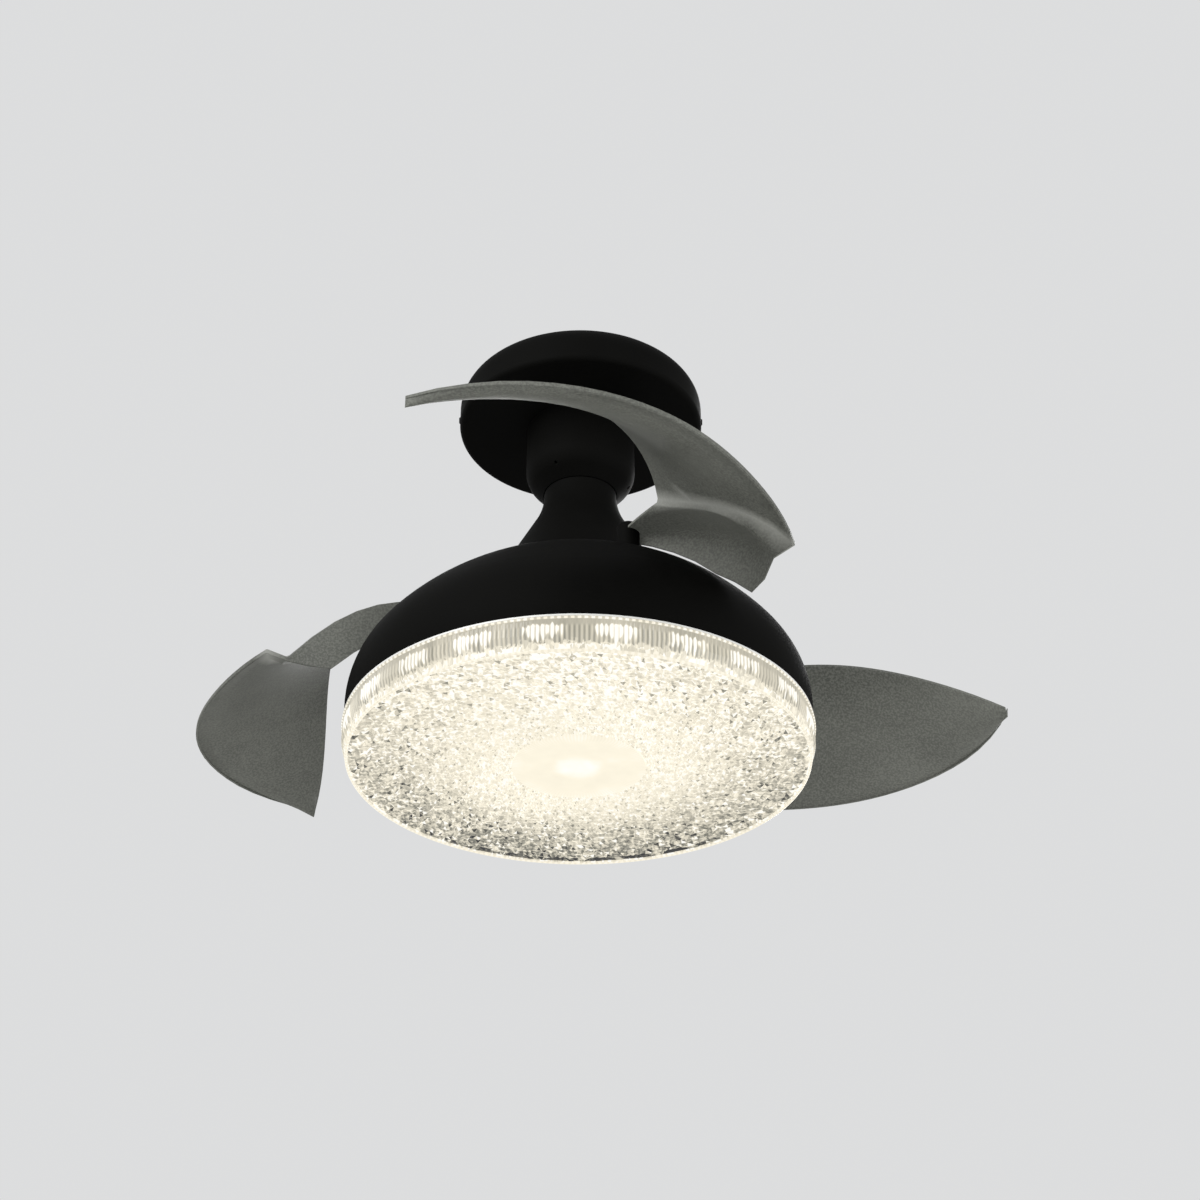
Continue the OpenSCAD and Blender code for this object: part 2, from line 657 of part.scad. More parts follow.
module sync_ring() color([0.88, 0.87, 0.82]) above_rim(gear_z) linear_extrude(gear_t) difference() {
    union() {
        circle(r = gear_module * (ring_gear_teeth / 2 - 1.25), $fn = 180);
        each_blade() rotate(pivot_dir)
            for (i = [-last_tooth : -first_tooth]) rotate((i + 0.5) * ring_tooth_step) tooth(ring_gear_teeth);
    }
    circle(r = rotor_r + run_gap, $fn = 180);
}

// ---- blades ----

// A blade is drawn folded round the dome, then swung open. Places on it are given as
// [direction from the pivot's, distance from the axis], and its edges run from root to tip.
heel = [-26, 155];
corner = [-41, 283];
tip_inside = [-142, 253];
tip_outside = [-141.7, 255.8];
inner_edge = [heel, [-71, 116], [-129, 115], tip_inside];
outer_edge = [corner, [-81.5, 256], [-80, 304], tip_outside];
// Control heights of the blade's underside, a row per edge point, from the inner to the outer edge
blade_heights = [[167, 122, 92, 77], [216, 151, 102, 74], [186, 135, 96, 82], [92, 82, 77, 92]];
// How far the root line bows towards the tip, in degrees
root_bow = -13;

function lerp(a, b, t) = a + (b - a) * t;
function bezier(p, t) =
    pow(1 - t, 3) * p[0] + 3 * pow(1 - t, 2) * t * p[1] + 3 * (1 - t) * t * t * p[2] + pow(t, 3) * p[3];
function polar(dir, r) = r * [cos(pivot_dir + dir), sin(pivot_dir + dir)];
function upright(xy, z) = [xy[0], xy[1], z];
function blade_point(u, v) =
    let (q = lerp(bezier(inner_edge, u), bezier(outer_edge, u), v))
    upright(polar(q[0] + root_bow * 4 * v * (1 - v) * pow(1 - u, 2), q[1]),
            bezier([for (row = blade_heights) bezier(row, v)], u));

// The root plate reaches from the blade to the hub, and a skirt on its edge follows the dome
root_dir = pivot_dir - lay_turn / 2 - 2;
root_along = [cos(root_dir), sin(root_dir)];
root_side = [-root_along[1], root_along[0]];
plate_z = 166.3;
step_w = 2.4;
// How much wider the step grows towards the outer corner, which leaves a free lip there
corner_lip = 20;
// How far the rounded lobe of the root plate's skirt hangs below the corner
lobe_drop = 12;
function flat(p) = [p[0], p[1]];
function root_foot(v) = let (q = blade_point(0, v), away = flat(q) - pivot)
    q - upright((step_w + corner_lip * pow(v, 3)) * away / norm(away), root_step);
hub_line = [pivot - 0.7 * hub_r * root_side, pivot + 0.7 * hub_r * root_side];
root_outer_edge = [hub_line[1], hub_line[1] + 60 * root_along, hub_line[1] + 130 * root_along,
                   flat(root_foot(1))];
function root_bulge(s) = bezier(root_outer_edge, s) - lerp(root_outer_edge[0], root_outer_edge[3], s);
function root_point(s, v) = let (hub_end = lerp(hub_line[0], hub_line[1], v))
    upright(lerp(hub_end, flat(root_foot(v)), s) + v * v * root_bulge(s),
            lerp(plate_z, root_foot(v)[2], s * s));

// Height of the dome's skin at a distance from the axis
function dome_z(r) = let (q = min(r, dome_r - 1))
    q > crown_c[0] + crown_r * cos(shoulder_turn)
        ? shoulder_c[1] + sqrt(pow(shoulder_r, 2) - pow(q - shoulder_c[0], 2)) : crown_z(q);
function swing(p, a) = let (q = flat(p) - pivot)
    pivot + [q[0] * cos(a) - q[1] * sin(a), q[0] * sin(a) + q[1] * cos(a)];
function skirt_z(p, s) = let (lobe = lobe_drop * min(1, 6 * (1 - s)))
    max(root_foot(1)[2] - rim_h - lobe, dome_clearance + dome_z(min(norm(flat(p)), norm(swing(p, lay_turn)))));

// Sections across the blade: first those of the root plate, then those of the blade
root_count = 8;
blade_count_u = 26;
row_count = 8;
sections = concat(
    [for (i = [0 : root_count]) [0, i / root_count]],
    [for (i = [0 : blade_count_u]) [1, i / blade_count_u]]);
function section_point(k, v) = k[0] == 0 ? root_point(k[1], v) : blade_point(k[1], v);
function outward(k) = k[0] == 0 ? root_side
    : let (q = flat(section_point(k, 1))) q / norm(q);
// The rim fades out towards the tip
function rim_share(k) = k[0] == 0 ? 1 : min(1, 0.15 + 6 * (1 - k[1]));
function rim_reach(k) = rim_w * rim_share(k) * outward(k);
function underside(k) = let (q = section_point(k, 1),
                             low = skirt_z(q + upright(rim_reach(k), 0), k[1]),
                             drop = k[0] == 0 ? max(0.5, q[2] - low) : rim_h,
                             foot = q[2] - max(0.5, drop * rim_share(k)))
    concat([for (j = [0 : row_count]) section_point(k, j / row_count)],
           [upright(flat(q), (q[2] + foot) / 2), upright(flat(q), foot)]);
function upside(k) = let (low = underside(k), q = low[row_count], out = flat(q) + rim_reach(k))
    concat([for (j = [0 : row_count]) low[j] + [0, 0, blade_t]],
           [upright(out, q[2] + blade_t - 1), upright(out, low[row_count + 2][2])]);

// The two triangles of a four-sided face
function quad(a, b, c, d) = [[a, b, c], [a, c, d]];

// A closed sheet between two grids of points with the same number of points in every row
module sheet(under, over) {
    n = len(under[0]);
    last = (len(under) - 1) * n;
    top = last + n;
    faces = concat(
        [for (i = [0 : n : last - n]) for (j = [i : i + n - 2]) each quad(j + 1, j, j + n, j + n + 1)],
        [for (i = [top : n : top + last - n]) for (j = [i : i + n - 2]) each quad(j + 1, j + n + 1, j + n, j)],
        [for (i = [0 : n : last - n]) each quad(i + n, i, top + i, top + i + n)],
        [for (i = [n - 1 : n : last - 1]) each quad(i + n, top + i + n, top + i, i)],
        [for (j = [0 : n - 2]) each quad(j, j + 1, top + j + 1, top + j)],
        [for (j = [last : last + n - 2]) each quad(j, top + j, top + j + 1, j + 1)]);
    polyhedron(concat([for (row = under) each row], [for (row = over) each row]), faces);
}

module swung_open() translate(pivot) rotate(lay_turn) translate(-pivot) children();

// The clear blade is moulded round the hub of its pivot
module blade() color(smoke) above_rim() swung_open()
    sheet([for (k = sections) underside(k)], [for (k = sections) upside(k)]);

gear_screw_r = 2.5;
module blade_pivot() color(steel) above_rim() translate(pivot) difference() {
    union() {
        translate([0, 0, gear_z]) cylinder(r = pin_r, h = hub_top_z - gear_z);
        translate([0, 0, hub_foot_z]) cylinder(r = hub_r, h = hub_top_z - hub_foot_z);
        translate([0, 0, hub_top_z - eps]) cylinder(r1 = hub_r, r2 = hub_r - 2, h = 3);
    }
    translate([0, 0, gear_z - 1]) cylinder(r = gear_screw_r, h = 15);
}

module blade_gear_screw() color(steel) above_rim(gear_z - 1.5) translate(pivot) {
    cylinder(r = pin_r + 3, h = 1.5);
    rotate([180, 0, 0]) screw(gear_screw_r - seat_gap, 12, 5, 3);
}

// ---- lamp ----

module lamp_pan() color([0.93, 0.93, 0.92]) above_rim() difference() {
    union() {
        translate([0, 0, pan_z]) cylinder(r = pan_wall_r, h = pan_t, $fn = 160);
        translate([0, 0, pan_flange_z]) cylinder(r = pan_wall_r, h = pan_z - pan_flange_z + eps, $fn = 160);
        translate([0, 0, pan_flange_z]) cylinder(r = rim_r - 1, h = pan_t, $fn = 160);
    }
    translate([0, 0, pan_flange_z - 1])
        cylinder(r = pan_wall_r - pan_t, h = pan_z - pan_flange_z + 1, $fn = 160);
    cylinder(r = shaft_r + seat_gap, h = far);
    ring_of(3, 32) cylinder(r = 2.2, h = far);
    ring_of(4, clip_r, 45) cylinder(r = 1.7, h = far);
}

hub_disc_r = 42;
module lamp_hub() color([0.5, 0.5, 0.52]) above_rim(pan_z + pan_t) difference() {
    union() {
        cylinder(r = hub_disc_r, h = 4);
        cylinder(r = shaft_r + 8, h = 26);
    }
    translate([0, 0, -1]) cylinder(r = shaft_r + seat_gap, h = 40);
    ring_of(3, 32) translate([0, 0, -1]) cylinder(r = 2, h = 8);
    translate([0, 0, 18]) rotate([0, 90, 30]) cylinder(r = 2.5, h = 40);
}

module pan_screws() color(steel) above_rim(pan_z)
    ring_of(3, 32) rotate([180, 0, 0]) screw(2 - seat_gap, 6, 4, 2.4);

module lamp_hub_nut() color(steel) above_rim(pan_z - 5) difference() {
    cylinder(r = shaft_r + 7, h = 5, $fn = 6);
    translate([0, 0, -1]) cylinder(r = shaft_r + seat_gap, h = 7);
}

module led_driver() color([0.9, 0.9, 0.9]) above_rim(pan_z + pan_t) translate([60, -35, 0]) difference() {
    cube([110, 70, 24]);
    translate([-1, 35, 12]) rotate([0, 90, 0]) cylinder(r = 5, h = 12);
    for (i = [0 : 6]) translate([20 + i * 12, 10, 23]) cube([4, 50, 2]);
}

outer_board_w = 14;
module outer_led_board() color([0.95, 0.95, 0.93]) above_rim(pan_z - led_board_t)
    tube(outer_led_r + outer_board_w / 2, outer_led_r - outer_board_w / 2, led_board_t);

lens_r = 6;
lens_h = 4.5;
lens_ball_r = (lens_r * lens_r + lens_h * lens_h) / (2 * lens_h);
module led_lens() intersection() {
    translate([0, 0, lens_ball_r - lens_h]) sphere(r = lens_ball_r, $fn = 48);
    translate([0, 0, -lens_h]) cylinder(r = lens_r + 1, h = lens_h);
}

module outer_led_lenses() color([1, 0.97, 0.85]) above_rim(pan_z - led_board_t)
    ring_of(outer_led_count, outer_led_r, 270 + 180 / outer_led_count) led_lens();

inner_board_r = [34, 150];
inner_led_rings = [[8, 50], [14, 92], [20, 136]];
module inner_led_board() color([0.95, 0.95, 0.93]) above_rim(pan_z - led_board_t) difference() {
    cylinder(r = inner_board_r[1], h = led_board_t);
    translate([0, 0, -1]) cylinder(r = inner_board_r[0] + 4, h = led_board_t + 2);
}

module inner_led_lenses() color([1, 0.97, 0.85]) above_rim(pan_z - led_board_t)
    for (q = inner_led_rings) ring_of(q[0], q[1]) led_lens();

lip_r = rim_r - 8;
clip_r = lip_r - 3;
diffuser_foot_r = rim_r - diffuser_taper;
module diffuser() color([0.98, 0.96, 0.88, 0.7]) above_rim() rotate_extrude($fn = 200) difference() {
    polygon([[0, -diffuser_depth], [diffuser_foot_r, -diffuser_depth], [rim_r - 3, -1.5], [rim_r, -1.5],
             [rim_r, pan_flange_z], [0, pan_flange_z]]);
    polygon([[-1, -diffuser_depth + diffuser_wall],
             [diffuser_foot_r - diffuser_wall, -diffuser_depth + diffuser_wall],
             [rim_r - 3 - diffuser_wall, 0], [lip_r, 0], [lip_r, far], [-1, far]]);
    translate([-1, -diffuser_depth - 1]) square([centre_disc_r + 1, 2]);
}

module diffuser_clips() color(steel) above_rim() ring_of(4, 0, 45) difference() {
    union() {
        translate([clip_r - 4, -6, -1.3]) cube([lip_r - 0.3 - clip_r + 4, 12, pan_flange_z + 1.3]);
        translate([clip_r - 4, -6, -1.3]) cube([lip_r + 1.7 - clip_r + 4, 12, 1.2]);
    }
    translate([clip_r, 0, -2]) cylinder(r = 1.7, h = 5);
}

module clip_screws() color(steel) above_rim(-1.3) ring_of(4, clip_r, 45)
    rotate([180, 0, 0]) screw(1.7 - seat_gap, pan_flange_z + pan_t + 2.3, 2.6, 1.6);

ceiling_bracket();
canopy();
canopy_screws();
neck_collar();
collar_nuts();
downrod();
rod_pins();
receiver_box();
terminal_block();
neck_cover();
neck_spacer();
motor_shaft();
stator_core();
stator_coils();
bearing_inner_races();
bearing_balls();
shaft_clips();
lamp_hub();
lamp_hub_nut();
lamp_pan();
pan_screws();
led_driver();
outer_led_board();
outer_led_lenses();
inner_led_board();
inner_led_lenses();
diffuser();
diffuser_clips();
clip_screws();
rotor_cup();
rotor_lid();
rotor_magnets();
bearing_outer_races();
rotor_screws();
blade_carrier();
carrier_screws();
pivot_bushes();
return_springs();
blade_stops();
dome_cover();
dome_posts();
dome_screws();
sync_ring();
at_blade(1) blade();  // blade_1
at_blade(1) blade_pivot();  // blade_1_pivot
at_blade(1) blade_gear();  // blade_1_gear
at_blade(1) blade_gear_screw();  // blade_1_gear_screw
at_blade(2) blade();  // blade_2
at_blade(2) blade_pivot();  // blade_2_pivot
at_blade(2) blade_gear();  // blade_2_gear
at_blade(2) blade_gear_screw();  // blade_2_gear_screw
at_blade(3) blade();  // blade_3
at_blade(3) blade_pivot();  // blade_3_pivot
at_blade(3) blade_gear();  // blade_3_gear
at_blade(3) blade_gear_screw();  // blade_3_gear_screw
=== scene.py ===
"""Ceiling fan with three folding smoky blades, a domed black body and a faceted round lamp."""

import logging
import math
import random
from dataclasses import dataclass
from enum import Enum
from typing import Callable

import bpy
from mathutils import Matrix, Vector


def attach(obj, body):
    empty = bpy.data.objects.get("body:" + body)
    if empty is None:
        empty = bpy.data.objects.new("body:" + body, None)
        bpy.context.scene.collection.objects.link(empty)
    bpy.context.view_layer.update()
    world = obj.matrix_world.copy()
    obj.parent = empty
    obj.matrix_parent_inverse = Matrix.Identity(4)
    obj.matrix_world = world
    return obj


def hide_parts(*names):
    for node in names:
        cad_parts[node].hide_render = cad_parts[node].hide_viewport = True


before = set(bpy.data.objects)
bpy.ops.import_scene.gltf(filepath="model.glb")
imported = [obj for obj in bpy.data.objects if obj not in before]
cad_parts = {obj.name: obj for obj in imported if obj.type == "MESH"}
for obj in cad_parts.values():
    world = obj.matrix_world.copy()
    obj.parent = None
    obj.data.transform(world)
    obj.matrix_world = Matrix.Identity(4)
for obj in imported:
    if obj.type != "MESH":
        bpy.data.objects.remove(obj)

log = logging.getLogger("ceiling_fan")
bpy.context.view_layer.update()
Colour = tuple[float, float, float]
Place = tuple[float, float, float]
Band = tuple[float, float]
Socket = bpy.types.NodeSocket
# Height of the seam between dome and lamp, and of the lamp's side wall, in metres
RIM_Z = -0.455
LAMP_DEPTH = 0.035


class Body(str, Enum):
    """The moving bodies that a new piece can ride on."""

    LAMP = "ceiling_and_lamp"
    BLADE_1 = "folding_blade_1"
    BLADE_2 = "folding_blade_2"
    BLADE_3 = "folding_blade_3"


class Grain(Enum):
    """Fine grain of a finish: waves per metre, octaves, squeeze along Z, and depth in metres."""

    POWDER = (1600.0, 2.0, 1.0, 0.00006)
    BRUSHED = (220.0, 3.0, 18.0, 0.00004)
    CAST = (700.0, 4.0, 1.0, 0.00015)
    MOULDED = (450.0, 2.0, 1.0, 0.00003)
    WOUND = (330.0, 0.0, 1.0, 0.0004)


# ---- shader building ----


class Num:
    """A number socket that can be used in Python expressions."""

    def __init__(self, shader: "Shader", socket: Socket) -> None:
        """Wraps a socket.

        Args:
            shader: The shader that the socket's node belongs to.
            socket: The output socket.
        """
        self.shader = shader
        self.socket = socket

    def _math(self, operation: str, a: "Num | float", b: "Num | float") -> "Num":
        """One Math node on two values.

        Args:
            operation: The Math node's operation.
            a: The first value.
            b: The second value.

        Returns:
            The node's result.
        """
        return self.shader.node("Math", {"operation": operation}, {0: a, 1: b}).num()

    def __add__(self, other: "Num | float") -> "Num":
        """Sum."""
        return self._math("ADD", self, other)

    __radd__ = __add__

    def __mul__(self, other: "Num | float") -> "Num":
        """Product."""
        return self._math("MULTIPLY", self, other)

    __rmul__ = __mul__

    def __sub__(self, other: "Num | float") -> "Num":
        """Difference."""
        return self._math("SUBTRACT", self, other)

    def __rsub__(self, other: float) -> "Num":
        """Difference from a plain number."""
        return self._math("SUBTRACT", other, self)

    def __pow__(self, other: float) -> "Num":
        """Power."""
        return self._math("POWER", self, other)

    def over(self, other: "Num | float") -> "Num":
        """Quotient."""
        return self._math("DIVIDE", self, other)

    def least(self, other: "Num | float") -> "Num":
        """The smaller of two values."""
        return self._math("MINIMUM", self, other)

    def cosine(self) -> "Num":
        """Cosine."""
        return self._math("COSINE", self, 0.0)

    def ramp(self, low: float, high: float) -> "Num":
        """Goes smoothly from 0 at low to 1 at high.

        Args:
            low: Where the result is 0.
            high: Where the result is 1.

        Returns:
            The eased value.
        """
        node = self.shader.node("MapRange", {"interpolation_type": "SMOOTHSTEP"},
                                {"Value": self, "From Min": low, "From Max": high})
        return node.num("Result")


class Made:
    """A node that was made, with short ways to its sockets."""

    def __init__(self, shader: "Shader", node: bpy.types.Node) -> None:
        """Wraps a node.

        Args:
            shader: The shader that the node belongs to.
            node: The node.
        """
        self.shader = shader
        self.node = node

    def out(self, name: str | int = 0) -> Socket:
        """An output socket by name or number."""
        return self.node.outputs[name]

    def num(self, name: str | int = 0) -> Num:
        """An output as a number."""
        return Num(self.shader, self.out(name))


class Shader:
    """One material's node tree with a Principled shader."""

    def __init__(self, name: str, **constants: float | Colour) -> None:
        """Starts an empty material.

        Args:
            name: The material's name.
            **constants: Values for the Principled shader's sockets, with _ for spaces.
        """
        self.material = bpy.data.materials.new(name)
        self.material.use_nodes = True
        self.tree = self.material.node_tree
        self.tree.nodes.clear()
        self.principled = self.node("BsdfPrincipled")
        for key, value in constants.items():
            self.set(key.replace("_", " "), value)
        self.node("OutputMaterial", {}, {"Surface": self.principled.out()})
        self.place = self.node("TexCoord").out("Object")

    def node(self, kind: str, settings: dict | None = None, inputs: dict | None = None) -> Made:
        """Adds a node.

        Args:
            kind: The node's type without its ShaderNode prefix.
            settings: Properties, set first; ramp gives a colour ramp's stops.
            inputs: Values or links by socket name or number.

        Returns:
            The node.
        """
        made = self.tree.nodes.new("ShaderNode" + kind)
        for key, value in (settings or {}).items():
            if key == "ramp":
                stops = made.color_ramp.elements
                for _ in range(len(value) - len(stops)):
                    stops.new(0.5)
                for stop, (at, colour) in zip(stops, value):
                    stop.position = at
                    stop.color = (*colour, 1.0)
            else:
                setattr(made, key, value)
        wrapped = Made(self, made)
        for key, value in (inputs or {}).items():
            self.feed(made.inputs[key], value)
        return wrapped

    def feed(self, socket: Socket, value: object) -> None:
        """Links or sets one input.

        Args:
            socket: The input socket.
            value: A number, a colour, a Num or an output socket.
        """
        if isinstance(value, Num):
            value = value.socket
        if isinstance(value, Socket):
            self.tree.links.new(value, socket)
        elif isinstance(value, tuple) and len(value) == 3 and socket.type == "RGBA":
            socket.default_value = (*value, 1.0)
        else:
            socket.default_value = value

    def set(self, name: str, value: object) -> None:
        """Feeds one socket of the Principled shader."""
        self.feed(self.principled.node.inputs[name], value)

    def blend(self, factor: Num | float, a: object, b: object) -> Socket:
        """Mixes two colours.

        Args:
            factor: 0 gives a, and 1 gives b.
            a: The first colour.
            b: The second colour.

        Returns:
            The mixed colour's socket.
        """
        made = self.node("Mix", {"data_type": "RGBA"})
        sockets = made.node.inputs
        self.feed(sockets["Factor"], factor)
        self.feed(next(s for s in sockets if s.identifier == "A_Color"), a)
        self.feed(next(s for s in sockets if s.identifier == "B_Color"), b)
        return next(s for s in made.node.outputs if s.identifier == "Result_Color")

    def stretched(self, scale: Place, at: Socket | None = None) -> Socket:
        """Coordinates with a scale for each axis.

        Args:
            scale: The three scales.
            at: What to scale, or the object's own coordinates.

        Returns:
            The scaled coordinates.
        """
        return self.node("Mapping", {}, {"Vector": at or self.place, "Scale": scale}).out()

    def noise(self, scale: float, detail: float, at: Socket | None = None) -> Num:
        """Noise from 0 to 1.

        Args:
            scale: Waves per metre.
            detail: Octaves.
            at: Where to read it, or the object's own coordinates.

        Returns:
            The noise value.
        """
        return self.node("TexNoise", {}, {"Vector": at or self.place, "Scale": scale,
                                          "Detail": detail}).num("Fac")

    def cells(self, scale: float, at: Socket) -> Num:
        """Voronoi cells, each with a tone of its own.

        Args:
            scale: Cells per metre.
            at: Where to read them.

        Returns:
            The tone, from 0 to 1.
        """
        return self.node("TexVoronoi", {}, {"Vector": at, "Scale": scale}).num("Color")

    def slivers(self) -> Num:
        """Two crossed sets of long chips with random tones, from 0 to 1."""
        per_metre, slimness, bend = 135.0, 2.7, 0.006
        bent = self.node("TexNoise", {}, {"Vector": self.place, "Scale": 90.0, "Detail": 1.0})
        place = self.node("VectorMath", {"operation": "MULTIPLY_ADD"},
                          {0: bent.out("Color"), 1: (bend, bend, bend), 2: self.place}).out()
        upright, lying = (self.cells(per_metre, self.stretched(scale, place))
                          for scale in ((1.0, slimness, 1.0), (slimness, 1.0, 1.0)))
        return ((upright + lying) * 0.5).ramp(0.15, 0.85)

    def axes(self) -> tuple[Num, Num, Num]:
        """The three object coordinates."""
        split = self.node("SeparateXYZ", {}, {0: self.place})
        return split.num(0), split.num(1), split.num(2)

    def radius(self) -> Num:
        """Distance from the fan's axis, in metres."""
        x, y, _ = self.axes()
        return (x * x + y * y) ** 0.5

    def turns(self, waves: int) -> Num:
        """A cosine round the fan's axis, from -1 to 1.

        Args:
            waves: Waves in a full turn.

        Returns:
            The cosine.
        """
        x, y, _ = self.axes()
        angle = self.node("Math", {"operation": "ARCTAN2"}, {0: y, 1: x}).num()
        return (angle * float(waves)).cosine()

    def attribute(self, name: str) -> Num:
        """A number stored on the mesh."""
        return self.node("Attribute", {"attribute_name": name}).num("Fac")

    def relief(self, height: Num, depth: float) -> None:
        """Feeds the normal from a bump.

        Args:
            height: The height from 0 to 1.
            depth: What 1 stands for, in metres.
        """
        bump = self.node("Bump", {}, {"Height": height, "Distance": depth})
        self.set("Normal", bump.out())


# ---- finishes ----


@dataclass(frozen=True)
class Finish:
    """A plain finish with some grain.

    Attributes:
        name: The material's name.
        base: The main colour.
        worn: The colour of its lighter or darker patches.
        grain: How it varies.
        rough: Roughness of the smoother and the duller places.
        metal: Metallic.
        ior: Index of refraction, lower for duller paint.
        patch_share: How much the large patches count against the grain.
    """

    name: str
    base: Colour
    worn: Colour
    grain: Grain
    rough: Band
    metal: float = 0.0
    ior: float = 1.5
    patch_share: float = 0.7

    def build(self) -> bpy.types.Material:
        """Makes the material.

        Returns:
            The material.
        """
        shader = Shader(self.name, Metallic=self.metal, IOR=self.ior)
        patches = shader.noise(14.0, 3.0)
        scale, octaves, squeeze, depth = self.grain.value
        if self.grain is Grain.WOUND:
            wave = {"Vector": shader.place, "Scale": scale, "Distortion": 0.6}
            fine = shader.node("TexWave", {"bands_direction": "Z"}, wave).num("Fac")
        else:
            fine = shader.noise(scale, octaves, shader.stretched((1.0, 1.0, squeeze)))
        shader.relief(fine, depth)
        mixed = (patches * self.patch_share + fine * (1.0 - self.patch_share)).ramp(0.3, 0.7)
        shader.set("Base Color", shader.blend(mixed, self.base, self.worn))
        shader.set("Roughness", mixed * (self.rough[1] - self.rough[0]) + self.rough[0])
        return shader.material


@dataclass(frozen=True)
class SmokyPlastic:
    """Frosted grey plastic of the blades, paler at the tips, with painted light at the pivots and
    step.

    Attributes:
        name: The material's name.
        deep: Its darkest colour.
        pale: Its palest colour away from the step.
        step: Its painted highlight colour along the root step.
        painted_glow: Strength of a painted glow, its own colour given off as emission so it looks
            lit through.
        cover: Opacity near the pivots.
        tip_band: Distances from the axis between which the tips grow paler and clearer.
        root_light_band: Distances between which painted light makes the roots paler, where the dome
            shades them.
        shares: How much clouds, specks, tips and the painted light at the roots add to the tone.
    """

    name: str = "smoky_plastic"
    deep: Colour = (0.054, 0.056, 0.049)
    pale: Colour = (0.17, 0.175, 0.155)
    step: Colour = (0.33, 0.335, 0.31)
    painted_glow: float = 0.22
    cover: float = 0.955
    tip_band: Band = (0.3, 0.47)
    root_light_band: Band = (0.34, 0.22)
    shares: tuple[float, float, float, float] = (0.2, 0.42, 0.3, 0.35)

    def build(self) -> bpy.types.Material:
        """Makes the material.

        Returns:
            The material.
        """
        shader = Shader(self.name, IOR=1.3, Emission_Strength=self.painted_glow)
        cloud = shader.noise(11.0, 4.0).ramp(0.3, 0.75)
        speck = shader.noise(430.0, 4.0).ramp(0.36, 0.66)
        tip = shader.radius().ramp(*self.tip_band)
        # Painted light: the roots are made paler to lift the shade that the dome casts on them.
        root = shader.radius().ramp(*self.root_light_band)
        clouds, specks, tips, roots = self.shares
        tone = cloud * clouds + speck * specks + tip * tips + root * roots
        colour = shader.blend(tone.least(1.0), self.deep, self.pale)
        # Painted highlight: a pale band along the root step, where the lip of the fold catches the
        # light.
        colour = shader.blend(shader.attribute("step") * 0.7, colour, self.step)
        shader.set("Base Color", colour)
        # Painted glow: the plastic's own colour is also given off as light, so the blades look lit
        # from behind.
        shader.set("Emission Color", colour)
        shader.set("Roughness", speck * 0.14 + 0.5)
        shader.set("Alpha", self.cover - tip * 0.05 + speck * 0.03)
        shader.relief(speck, 0.00006)
        return shader.material


class LightTones:
    """Colours of lit clear plastic by brightness, from dark gaps to the lamp's white."""

    WHITEST = 0.99
    STOPS = ((0.16, (0.021, 0.021, 0.023)),
             (0.5, (0.223, 0.216, 0.176)),
             (0.8, (0.658, 0.612, 0.495)),
             (0.945, (0.947, 0.88, 0.716)),
             (WHITEST, (1.0, 0.98, 0.92)))

    def __init__(self, name: str, rough: float) -> None:
        """Starts a lit material.

        Args:
            name: The material's name.
            rough: Its roughness.
        """
        self.shader = Shader(name, Roughness=rough, Emission_Strength=1.0, Specular_IOR_Level=0.3,
                             Base_Color=(0.025, 0.025, 0.024))

    def lit(self, tone: Num) -> bpy.types.Material:
        """Colours the emission.

        Args:
            tone: The brightness from 0 to 1, as it shows on screen.

        Returns:
            The material.
        """
        ramp = self.shader.node("ValToRGB", {"ramp": self.STOPS}, {"Fac": tone.least(self.WHITEST)})
        self.shader.set("Emission Color", ramp.out("Color"))
        return self.shader.material


@dataclass(frozen=True)
class CrystalLight:
    """The lit faceted bottom, ivory inside and in front, with painted shade at its back edge.

    Attributes:
        name: The material's name.
        middle: Its brightness at the centre.
        painted_shade_depth: How much darker the painted shade makes the back edge.
        painted_shade_band: Distances from the axis between which the painted shade grows.
        chip_share: How much the painted chips count against the modelled facets.
        dark_facets: Draws between which a facet turns dark.
        bright_facets: Draws between which a facet turns bright.
        scallops: Dark arches in a full turn.
        scallop_r: Distance from the axis to the arches' feet.
        scallop_h: Height of the arches.
        scallop_back: How far back the arches begin, from 0 in front to 1 behind.
    """

    name: str = "crystal_light"
    middle: float = 0.932
    painted_shade_depth: float = 0.33
    painted_shade_band: Band = (0.09, 0.236)
    chip_share: float = 0.72
    dark_facets: Band = (0.93, 0.96)
    bright_facets: Band = (0.09, 0.05)
    scallops: int = 32
    scallop_r: float = 0.2415
    scallop_h: float = 0.0115
    scallop_back: Band = (0.86, 0.93)

    def build(self) -> bpy.types.Material:
        """Makes the material.

        Returns:
            The material.
        """
        light = LightTones(self.name, 0.2)
        shader = light.shader
        _, y, _ = shader.axes()
        radius = shader.radius()
        outward = radius.ramp(*self.painted_shade_band)
        back = y.over(radius) * 0.5 + 0.5
        # Painted shade: the bottom greys towards its back edge, where its facets also contrast and
        # spark more.
        painted_shade_mask = outward * back
        chips = shader.slivers() * self.chip_share
        chips = chips + shader.attribute("facet") * (1.0 - self.chip_share)
        facets = (chips - 0.5) * 2.0
        spread = outward * 0.1 + painted_shade_mask * 0.22 + 0.07
        fleck = shader.attribute("glint").ramp(*self.dark_facets) * (spread * 1.3 + 0.06)
        spark = shader.attribute("glint").ramp(*self.bright_facets) * (painted_shade_mask * 0.4 + 0.05)
        tone = facets * spread - fleck + spark + self.middle - painted_shade_mask * self.painted_shade_depth
        arch = (0.5 - shader.turns(self.scallops) * 0.5) ** 0.5
        past = radius + arch * self.scallop_h + facets * 0.0005 - self.scallop_r
        gap = past.ramp(0.0, 0.001) * back.ramp(*self.scallop_back)
        return light.lit(tone - gap * 0.55)


